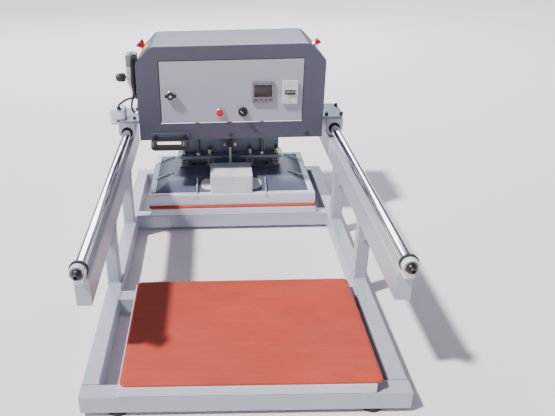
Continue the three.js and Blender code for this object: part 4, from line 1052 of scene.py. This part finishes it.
# ---------------------------------------------------------------- left side: air regulator, tubes, switch box
def add_regulator():
    x, y = REGULATOR_AXIS
    half = 17
    body = bmesh.new()
    add_box(body, at(x - half, y - half, 495), at(x + half, y + half, 552.8), 3.5 * MM, 4)
    add_box(body, at(x - half + 2, y - half - 1.6, 503), at(x + half - 2, y - half + 1, 545), 1.5 * MM, 3)
    for z in (499, 548.5):
        add_box(body, at(x - half - 0.8, y - half - 0.8, z - 2), at(x + half + 0.2, y + half + 0.2, z + 2),
            0.9 * MM, 2)
    cone = [(16, 18.4), (16, 14), (15.2, 12.4), (11, 4), (9.2, 0.6), (8.4, 0)]
    lathe(body, [(r, h - 18) for r, h in cone[::-1]], at(x, y, 495), UP, 40)
    collar = [(16.4, 0), (17, 0.8), (17, 5), (16.4, 5.8), (15, 5.8)]
    lathe(body, collar, at(x, y, 490.2), UP, 40)
    piece = mesh_piece("air_regulator_body", body, "cream_plastic", "carriage", 45)
    nozzle = bmesh.new()
    profile = [
        (5.2, 0), (6.3, 0.6), (6.5, 4), (5.8, 4.6), (5.8, 7), (6.5, 7.6), (6.5, 22), (7.6, 23), (7.6, 27),
        (8.6, 28),
        (8.6, 40),
    ]
    lathe(nozzle, profile, at(x, y, 437.2), UP, 36)
    mesh_piece("air_regulator_drain", nozzle, "white_plastic", "carriage", 45)
    screws = bmesh.new()
    for sx, z in ((-11, 538), (10, 538), (-11, 511), (10, 511)):
        add_pan_screw(screws, at(x + sx, y - half - 1.6, z), FRONT, 5, 1.6, sx)
    mesh_piece("air_regulator_screws", screws, "dark_steel", "carriage")
    bracket = bmesh.new()
    b_low, b_high = at(-381, 1080, 553.1), at(-342.3, 1135, 598)
    add_box(bracket, b_low, b_high, 2.6 * MM, 3)
    mesh_piece("air_regulator_bracket", bracket, "wing_paint", "carriage", 40)
    bolts = bmesh.new()
    for by in (1093, 1122):
        add_hex_head(bolts, at(-362, by, 598), UP, 10, 4.5, 0.2)
    mesh_piece("air_regulator_bracket_bolts", bolts, "zinc_steel", "carriage")
    nut = bmesh.new()
    outward = Vector((-1, 0, 0))
    apothem = 8
    rings = [(hexagon(apothem * MM), 0), (hexagon(apothem * MM), 4.5), (7, 5.4), (5.6, 5.4), (5.6, 6.6)]
    lathe(nut, rings, at(-381, y, REGULATOR_Z), outward, 36)
    mesh_piece("air_regulator_nut", nut, "brass", "carriage")
    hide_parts("air_regulator")
    knob = bmesh.new()

    def knurled(radius):
        return lambda angle: (radius - 0.7 * (0.5 + 0.5 * math.cos(angle * 24))) * MM

    rings = [
        (12, 0), (15, 0.2), (knurled(16), 1.4), (knurled(16), 20), (knurled(15.4), 23.5), (14.4, 27),
        (12.6, 31),
        (11.2, 32.6), (10.2, 33.4), (8, 33.4), (7.4, 32.8), (3, 32.8),
    ]
    lathe(knob, rings, at(-388.2, y, REGULATOR_Z), outward, 192)
    dial = mesh_piece("regulator_knob_grip", knob, "black_plastic", "regulator_dial", 45)
    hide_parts("regulator_knob")


def add_fitting(bm, place, direction, length=14.0, radius=6.5):
    """A push-in air fitting: hexagon base, round sleeve and release ring."""
    rings = [
        (hexagon(radius * 1.06 * MM), 0), (hexagon(radius * 1.06 * MM), length * 0.3),
        (radius * 0.98, length * 0.34),
        (radius * 0.98, length * 0.78), (radius * 0.9, length * 0.84), (radius * 0.72, length * 0.85),
        (radius * 0.72, length * 0.94), (radius * 0.86, length * 0.95), (radius * 0.86, length),
        (radius * 0.64, length),
    ]
    lathe(bm, rings, place, direction, 36)


def add_air_tubes():
    wall = (-1, 0, 0)
    for name, route, y, steps in (
        ("upper_air_tube", UPPER_TUBE, 1072.4, 10), ("lower_air_tube", LOWER_TUBE, 1062, 10),
    ):
        bm = bmesh.new()
        add_tube(bm, smooth_route([at(x, y, z) for x, z in route], steps), 3.9 * MM, 16)
        tube = mesh_piece(f"{name}_hose", bm, "rubber", "carriage", 60)
        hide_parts(name)
    bundle = bmesh.new()
    for index, (dx, dy) in enumerate(BUNDLE_OFFSETS):
        low_z = 462 - index * 4
        route = [
            at(-342.3, 1062 + dy * 2.2, 588 + index * 5),
            at(-347 + dx * 0.4, 1062 + dy * 1.9, 592 + index * 4),
            at(-353 + dx, 1062 + dy, 580 + index * 3), at(-354 + dx, 1061 + dy, 540),
            at(-353.5 + dx * 0.9, 1062 + dy, 500),
            at(-354 + dx * 0.8, 1062 + dy, 474), at(-352 + dx * 0.4, 1064 + dy * 1.4, low_z),
            at(-342.3, 1066 + dy * 1.9, low_z - 6),
        ]
        add_tube(bundle, smooth_route(route, 9), (2.9 if index % 2 else 3.3) * MM, 12)
    mesh_piece("air_tube_bundle", bundle, "rubber", "carriage", 60)
    wrap = bmesh.new()
    turns, count = 13, 13 * 22
    spiral = []
    for step in range(count + 1):
        share = step / count
        angle = 2 * math.pi * turns * share
        z = 572 - 92 * share
        sway = 1.2 * math.sin(share * 7)
        spiral.append(at(-354.4 + sway + 8.6 * math.cos(angle), 1060.6 + 7.6 * math.sin(angle), z))
    add_tube(wrap, spiral, 1.5 * MM, 8)
    mesh_piece("air_tube_spiral_wrap", wrap, "rubber", "carriage", 70)
    fittings = bmesh.new()
    add_fitting(fittings, at(-342, 1072.4, 442), wall, 17, 6.8)
    add_fitting(fittings, at(-342, 1062, 384), wall, 15, 7)
    mesh_piece("wall_air_fittings", fittings, "zinc_steel", "carriage")
    bolt = bmesh.new()
    add_washer(bolt, at(-342, 1050, 418), wall, 14, 2, 1.4)
    add_hex_head(bolt, at(-343.4, 1050, 418), wall, 10, 7, 0.1)
    mesh_piece("side_wall_bolt", bolt, "zinc_steel", "carriage")


def add_switch_box():
    low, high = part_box("end_switch_box")
    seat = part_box("carriage_plate")[1].z + 0.3 * MM
    skirt_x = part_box("carriage_plate")[0].x - 0.3 * MM
    bm = bmesh.new()
    add_box(bm, (low.x, low.y, seat), high, 8.5 * MM, 6)
    add_box(bm, (low.x + MM, low.y + MM, low.z), (skirt_x, high.y - MM, seat + 16 * MM), 6 * MM, 5)
    box = mesh_piece("end_switch_case", bm, "white_plastic", "carriage", 50)
    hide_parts("end_switch_box")
    seam = bmesh.new()
    z = high.z - 12 * MM
    seam_route = []
    corner = 8.5 * MM
    for quarter, (at_right, at_rear) in enumerate(((1, 1), (0, 1), (0, 0), (1, 0))):
        middle = Vector((
            high.x - corner if at_right else low.x + corner, high.y - corner if at_rear else low.y + corner,
            z))
        for step in range(7):
            angle = math.pi / 2 * (quarter + step / 6)
            seam_route.append(middle + Vector((math.cos(angle), math.sin(angle), 0)) * (corner - 0.6 * MM))
    seam_route.append(seam_route[0])
    add_tube(seam, seam_route, 0.5 * MM, 6)
    mesh_piece("end_switch_lid_seam", seam, "cream_plastic", "carriage", 70)
    screws = bmesh.new()
    for x, y in ((high.x - 12 * MM, low.y + 13 * MM), (low.x + 14 * MM, high.y - 13 * MM),
        (high.x - 12 * MM, high.y - 13 * MM)):
        add_pan_screw(screws, Vector((x, y, high.z - 0.2 * MM)), UP, 7.5, 2.6, x * 300)
    mesh_piece("end_switch_screws", screws, "zinc_steel", "carriage")
    gland = bmesh.new()
    rings = [
        (4.3, -1), (7.6, -1), (hexagon(7.4 * MM), 0.2), (hexagon(7.4 * MM), 4), (6.4, 5), (6.2, 8),
        (5.4, 9.4), (4.3, 9.4),
    ]
    lathe(gland, rings, at(-420, 1072.4, 399), UP, 36, close=True)
    mesh_piece("end_switch_tube_nut", gland, "black_plastic", "carriage")


# ---------------------------------------------------------------- wings and bearings
def add_wing_screws():
    low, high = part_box("carriage_plate")
    bm = bmesh.new()
    for side, sign in SIDES:
        middle_x = centre(f"{side}_rail").x
        for dx in (-1, 1):
            for share in (0.14, 0.82):
                x = middle_x + (dx * 28 - sign) * MM
                y = low.y + (high.y - low.y) * share
                if side == "left" and x < centre("left_rail").x and share < 0.5:
                    continue
                add_washer(bm, Vector((x, y, high.z)), UP, 13.6, 3, 1.4)
                add_socket_screw(bm, Vector((x, y, high.z + 1.4 * MM)), UP, 12.4, 7.6, x * 70 + y * 30)
    mesh_piece("wing_plate_screws", bm, "dark_steel", "carriage")


def add_bearing_seals():
    for side, _ in SIDES:
        low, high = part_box(f"{side}_bearing_block")
        rail = centre(f"{side}_rail")
        seals = bmesh.new()
        rings = bmesh.new()
        for y, sense in ((low.y, 1), (high.y, -1)):
            place = Vector((rail.x, y + sense * 8.8 * MM, rail.z))
            profile = [(15.9, 0), (21.7, 0), (21.7, 4.2), (20.2, 4.6), (18.8, 3.4), (17.2, 5.2), (15.9, 5.4)]
            lathe(seals, profile, place, (0, -sense, 0), 56, close=True)
            clip = [(19.9, 5.0), (21.9, 5.0), (21.9, 6.4), (19.9, 6.4)]
            lathe(rings, clip, place, (0, -sense, 0), 56, close=True)
        mesh_piece(f"{side}_bearing_seals", seals, "rubber", "carriage")
        mesh_piece(f"{side}_bearing_clips", rings, "dark_steel", "carriage")


def add_rail_support_screws():
    """Flush screws in the support feet, because the bearing blocks pass just above them."""
    bm = bmesh.new()
    for side, _ in SIDES:
        low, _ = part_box(f"front_{side}_rail_support")
        x = centre(f"{side}_rail").x
        foot_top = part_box(f"{side}_rail_beam")[1].z + 3.3 * MM
        for y in (low.y + 30 * MM, low.y + 48 * MM):
            rings = [(5, 0.02), (4.8, 0.25), (hexagon(2.6 * MM), 0.25), (hexagon(2.5 * MM), 0.05),
                (0.4, 0.05)]
            lathe(bm, rings, Vector((x, y, foot_top)), UP, 36, spin=y * 90)
    mesh_piece("rail_support_screws", bm, "dark_steel", "base_frame")


# ---------------------------------------------------------------- press linkage
def add_stud_parts():
    strip_top = at(0, 0, STRIP_TOP_Z)
    plate_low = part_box("press_yoke")[0].z
    plate_top = at(0, 0, YOKE_TOP_Z).z
    nuts, washers, threads = bmesh.new(), bmesh.new(), bmesh.new()
    for index, x in enumerate(SPRING_X):
        base = at(x, PRESS_Y, 0)
        base.z = strip_top.z
        top = Vector((base.x, base.y, plate_low - 0.2 * MM))
        spring = bmesh.new()
        add_tube(spring, helix_route(base + UP * 2.2 * MM, top - UP * 2.2 * MM, 13.6 * MM, 4.6, 0.7),
            2.3 * MM, 12)
        coil = mesh_piece(f"press_spring_{index + 1}", spring, "zinc_steel", "yoke", 70)
        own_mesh(coil)
        seat = Vector((base.x, base.y, plate_top + 0.3 * MM))
        add_washer(washers, seat, UP, 31, 5.4, 2.2)
        add_washer(washers, Vector((base.x, base.y, strip_top.z - 0.1 * MM)), UP, 33, 5.4, 1.2)
        for lift in (2.3, 12.6):
            apothem = 8.4
            rings = [
                (7.6, 0), (hexagon(apothem * MM), 0.8), (hexagon(apothem * MM), 8.8), (7.6, 9.6), (6.2, 9.6),
            ]
            lathe(nuts, rings, seat + UP * lift * MM, UP, 36, spin=0.5 * index + lift)
        rings = []
        height, pitch = 0.0, 1.5
        total = STUD_THREAD_Z[1] - STUD_THREAD_Z[0]
        while height < total - 3:
            rings += [(5.1, height), (5.8, height + pitch * 0.45), (5.8, height + pitch * 0.6)]
            height += pitch
        rings += [(5.2, total - 1.5), (4.4, total - 0.4), (2, total)]
        place = Vector((base.x, base.y, strip_top.z + 1.4 * MM))
        lathe(threads, rings, place, UP, 20)
    mesh_piece("stud_nuts", nuts, "zinc_steel", "platen", look=YELLOW_ZINC)
    mesh_piece("stud_washers", washers, "zinc_steel", "platen", look=YELLOW_ZINC)
    mesh_piece("stud_threads", threads, "dark_steel", "platen", 70)


def add_yoke_parts():
    pin = bmesh.new()
    lathe(pin, [(4.4, -27), (5, -26.4), (5, 26.4), (4.4, 27)], at(0, CLEVIS_PIN_Y, CLEVIS_PIN_Z), (1, 0, 0),
        28)
    for sign in (-1, 1):
        place = at(sign * 16.2, CLEVIS_PIN_Y, CLEVIS_PIN_Z)
        outward = (sign, 0, 0)
        add_washer(pin, place, outward, 19, 5.1, 1.8)
        rings = [(7.2, 1.8), (hexagon(7.6 * MM), 2.6), (hexagon(7.6 * MM), 7.6), (7, 8.4), (5.2, 8.4)]
        lathe(pin, rings, place, outward, 36, spin=0.4)
    mesh_piece("clevis_pin", pin, "zinc_steel", "yoke")
    bolts = bmesh.new()
    beam_top = at(0, 0, YOKE_BEAM_TOP_Z).z
    for x in YOKE_BOLT_X:
        place = at(x, YOKE_BEAM_Y, 0)
        place.z = beam_top
        add_washer(bolts, place, UP, 24, 4, 2)
        add_hex_head(bolts, place + UP * 2 * MM, UP, 17, 7.5, x)
    mesh_piece("yoke_beam_bolts", bolts, "dark_steel", "yoke")
    sleeves = bmesh.new()
    collars = bmesh.new()
    bushes = bmesh.new()
    wing_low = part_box("carriage_plate")[0].z
    for sign in (-1, 1):
        place = at(sign * GUIDE_ROD_X, PRESS_Y, 163.2)
        rings = [(8.05, 0), (8.25, 0.1), (8.25, 256.6), (7.4, 257.4), (6, 257.4), (6, 257.1)]
        lathe(sleeves, rings, place, UP, 40)
        collar = [(9, 0), (12.2, 0), (13, 0.8), (13, 9), (12, 10), (9, 10)]
        lathe(collars, collar, place, UP, 40, close=True)
        mouth = at(sign * GUIDE_ROD_X, PRESS_Y, 0)
        mouth.z = wing_low - 0.3 * MM
        flange = [(9, 0), (21, 0), (21, 5), (15, 6), (14.4, 24), (13.4, 25), (9, 25)]
        lathe(bushes, flange, mouth, (0, 0, -1), 48, close=True)
    mesh_piece("guide_rod_sleeves", sleeves, "dark_steel", "yoke")
    mesh_piece("guide_rod_collars", collars, "zinc_steel", "yoke")
    mesh_piece("guide_bushes", bushes, "zinc_steel", "carriage")


def add_pressure_bar_screws():
    bm = bmesh.new()
    for x in (-150, -45, 45, 150):
        add_socket_screw(bm, at(x, 1231, 140), UP, 13, 5, x)
    for x in (-150, 150):
        add_hex_head(bm, at(x, 1190, 116), UP, 13, 5, x)
    mesh_piece("pressure_bar_screws", bm, "dark_steel", "platen")


# ---------------------------------------------------------------- platen
def add_rim():
    """Four folded strips; the left one springs up a little at its front end."""
    low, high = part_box("platen_rim")
    sheet, flange, gap = 3 * MM, 24 * MM, 1.2 * MM
    strips = bmesh.new()

    def strip(start, end, inward, lift):
        """A folded strip from start to end: a wall with a flange pointing inwards, in short lengths."""
        along = end - start
        steps = 24
        down = Vector((0, 0, low.z - high.z))
        loops = []
        for step in range(steps + 1):
            share = step / steps
            origin = start + along * share
            rise = UP * lift * max(0.0, 1 - share * steps / 5) ** 2
            bend = sheet * 0.9
            section = [
                origin + down, origin + down + inward * sheet, origin + inward * sheet - UP * sheet,
                origin + inward * flange - UP * sheet + rise, origin + inward * flange + rise,
                origin + inward * bend * 2 + rise * 0.15, origin + inward * bend * 0.5 - UP * bend * 0.15,
                origin + inward * bend * 0.15 - UP * bend * 0.5, origin - UP * bend * 2,
            ]
            loops.append([strips.verts.new(point) for point in section])
        for first, second in zip(loops, loops[1:]):
            count = len(first)
            for step in range(count):
                following = (step + 1) % count
                strips.faces.new((first[step], first[following], second[following], second[step]))
        strips.faces.new(loops[0][::-1])
        strips.faces.new(loops[-1])

    left, right, near, far, top = low.x, high.x, low.y, high.y, high.z
    strip(Vector((left, near, top)), Vector((right, near, top)), Vector((0, 1, 0)), 0)
    strip(Vector((left, far, top)), Vector((right, far, top)), Vector((0, -1, 0)), 0)
    inner_near, inner_far = near + flange + gap, far - flange - gap
    strip(Vector((left, inner_near, top)), Vector((left, inner_far, top)), Vector((1, 0, 0)), 5 * MM)
    strip(Vector((right, inner_near, top)), Vector((right, inner_far, top)), Vector((-1, 0, 0)), 0)
    rim = mesh_piece("platen_rim_strips", strips, "white_board", "platen", 40)
    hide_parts("platen_rim")
    corners = bmesh.new()
    for x, sx in ((left, 1), (right, -1)):
        for y, sy in ((near, 1), (far, -1)):
            first = Vector((x + sx * 0.2 * MM, y + sy * sheet, low.z))
            second = Vector((x + sx * sheet, y + sy * (flange + gap + 0.4 * MM), top - sheet - 0.4 * MM))
            lower = Vector([min(a, b) for a, b in zip(first, second)])
            upper = Vector([max(a, b) for a, b in zip(first, second)])
            add_box(corners, lower, upper, 0.4 * MM)
    mesh_piece("platen_rim_corner_tabs", corners, "white_board", "platen", 40)


def tension_spring(bm, first, second, radius, wire):
    """A close-wound spring with a hook at each end."""
    axis = (second - first).normalized()
    side = axis.cross(UP).normalized()
    other = axis.cross(side).normalized()
    hook = 4.2 * MM
    start, end = first + axis * hook * 2, second - axis * hook * 2
    turns = int((end - start).length / (wire * 2.25))
    count = turns * 10
    route = []
    for step in range(count + 1):
        share = step / count
        angle = 2 * math.pi * turns * share
        route.append(start.lerp(end, share) + (side * math.cos(angle) + other * math.sin(angle)) * radius)
    add_tube(bm, route, wire, 6)
    for tip, inward in ((first, axis), (second, -axis)):
        bend = []
        middle = tip + inward * hook
        for step in range(15):
            angle = math.radians(-40 + 290 * step / 14)
            bend.append(middle + (inward * math.cos(angle) + other * math.sin(angle)) * hook * 0.9)
        add_tube(bm, bend, wire * 1.15, 8)


def add_tension_springs():
    bm = bmesh.new()
    anchors = bmesh.new()
    for first, second in TENSION_SPRINGS:
        start, end = at(*first), at(*second)
        tension_spring(bm, start, end, 2.5 * MM, 0.75 * MM)
    mesh_piece("cover_tension_springs", bm, "zinc_steel", "platen", 70)
    for x in (-134, 134):
        add_pan_screw(anchors, at(x, 975.5, 73), FRONT, 11, 3.2, x)
    for _, second in TENSION_SPRINGS[2:]:
        add_pan_screw(anchors, at(second[0], second[1], 80), UP, 8, 2.4, second[1])
    mesh_piece("tension_spring_screws", anchors, "zinc_steel", "platen")
    eyes = bmesh.new()
    for first, _ in TENSION_SPRINGS:
        add_pan_screw(eyes, at(first[0], first[1], first[2] - 4.4), UP, 9, 3.4, first[0])
    mesh_piece("cover_spring_eyes", eyes, "dark_steel", "platen")


def add_junction_details():
    screws = bmesh.new()
    slope = math.atan2(112 - 80.4, 1075 - 998)
    normal = Vector((0, -math.sin(slope), math.cos(slope)))
    for x in (-101, 101):
        add_pan_screw(screws, at(x, 1036.5, 98.8), normal, 8.5, 2.8, x)
    mesh_piece("junction_box_screws", screws, "zinc_steel", "platen")
    gland = bmesh.new()
    rings = [(5.7, 0), (10.5, 0), (hexagon(10 * MM), 0.8), (hexagon(10 * MM), 5), (8.8, 6), (8, 9),
        (6.6, 10.4), (5.7, 10.4)]
    lathe(gland, rings, at(0, 1124.2, 134), (0, 1, 0.12), 36, close=True)
    mesh_piece("junction_box_gland", gland, "black_plastic", "platen")


def add_lead():
    lead = bmesh.new()
    add_tube(lead, smooth_route([at(*point) for point in LEAD_ROUTE], 10), 5.4 * MM, 20)
    cable = mesh_piece("heater_lead_cable", lead, "lead_sheath", "platen", 60)
    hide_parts("heater_lead")
    sleeve = bmesh.new()
    x, y, _ = LEAD_ROUTE[-1]
    rings = [(5.5, 0), (6.4, 1), (6.9, 4), (6.9, 62), (7.7, 63), (7.7, 82), (6.8, 83.4), (3, 83.4)]
    lathe(sleeve, rings, at(x, y, 205), UP, 32)
    mesh_piece("heater_lead_sleeve", sleeve, "rubber", "platen", 45)


# ---------------------------------------------------------------- scene
add_camera()
add_studio()
add_floor()
dress_cad_nodes()
for build in (
    add_bumpers_and_rail_screws, add_weld_beads, add_foot_details, add_face_fasteners, add_handle,
    add_emergency_stop, add_stop_button, add_rear_vents, add_gland_parts, add_window_and_keys,
    add_breaker_parts,
    add_panel_controls, add_regulator, add_air_tubes, add_switch_box, add_wing_screws, add_bearing_seals,
    add_rail_support_screws, add_stud_parts, add_yoke_parts, add_pressure_bar_screws, add_rim,
    add_tension_springs, add_junction_details, add_lead,
):
    build()
add_pad("front_pad", "base_frame", 2.5 * MM)
add_pad("rear_pad", "base_frame", 0)
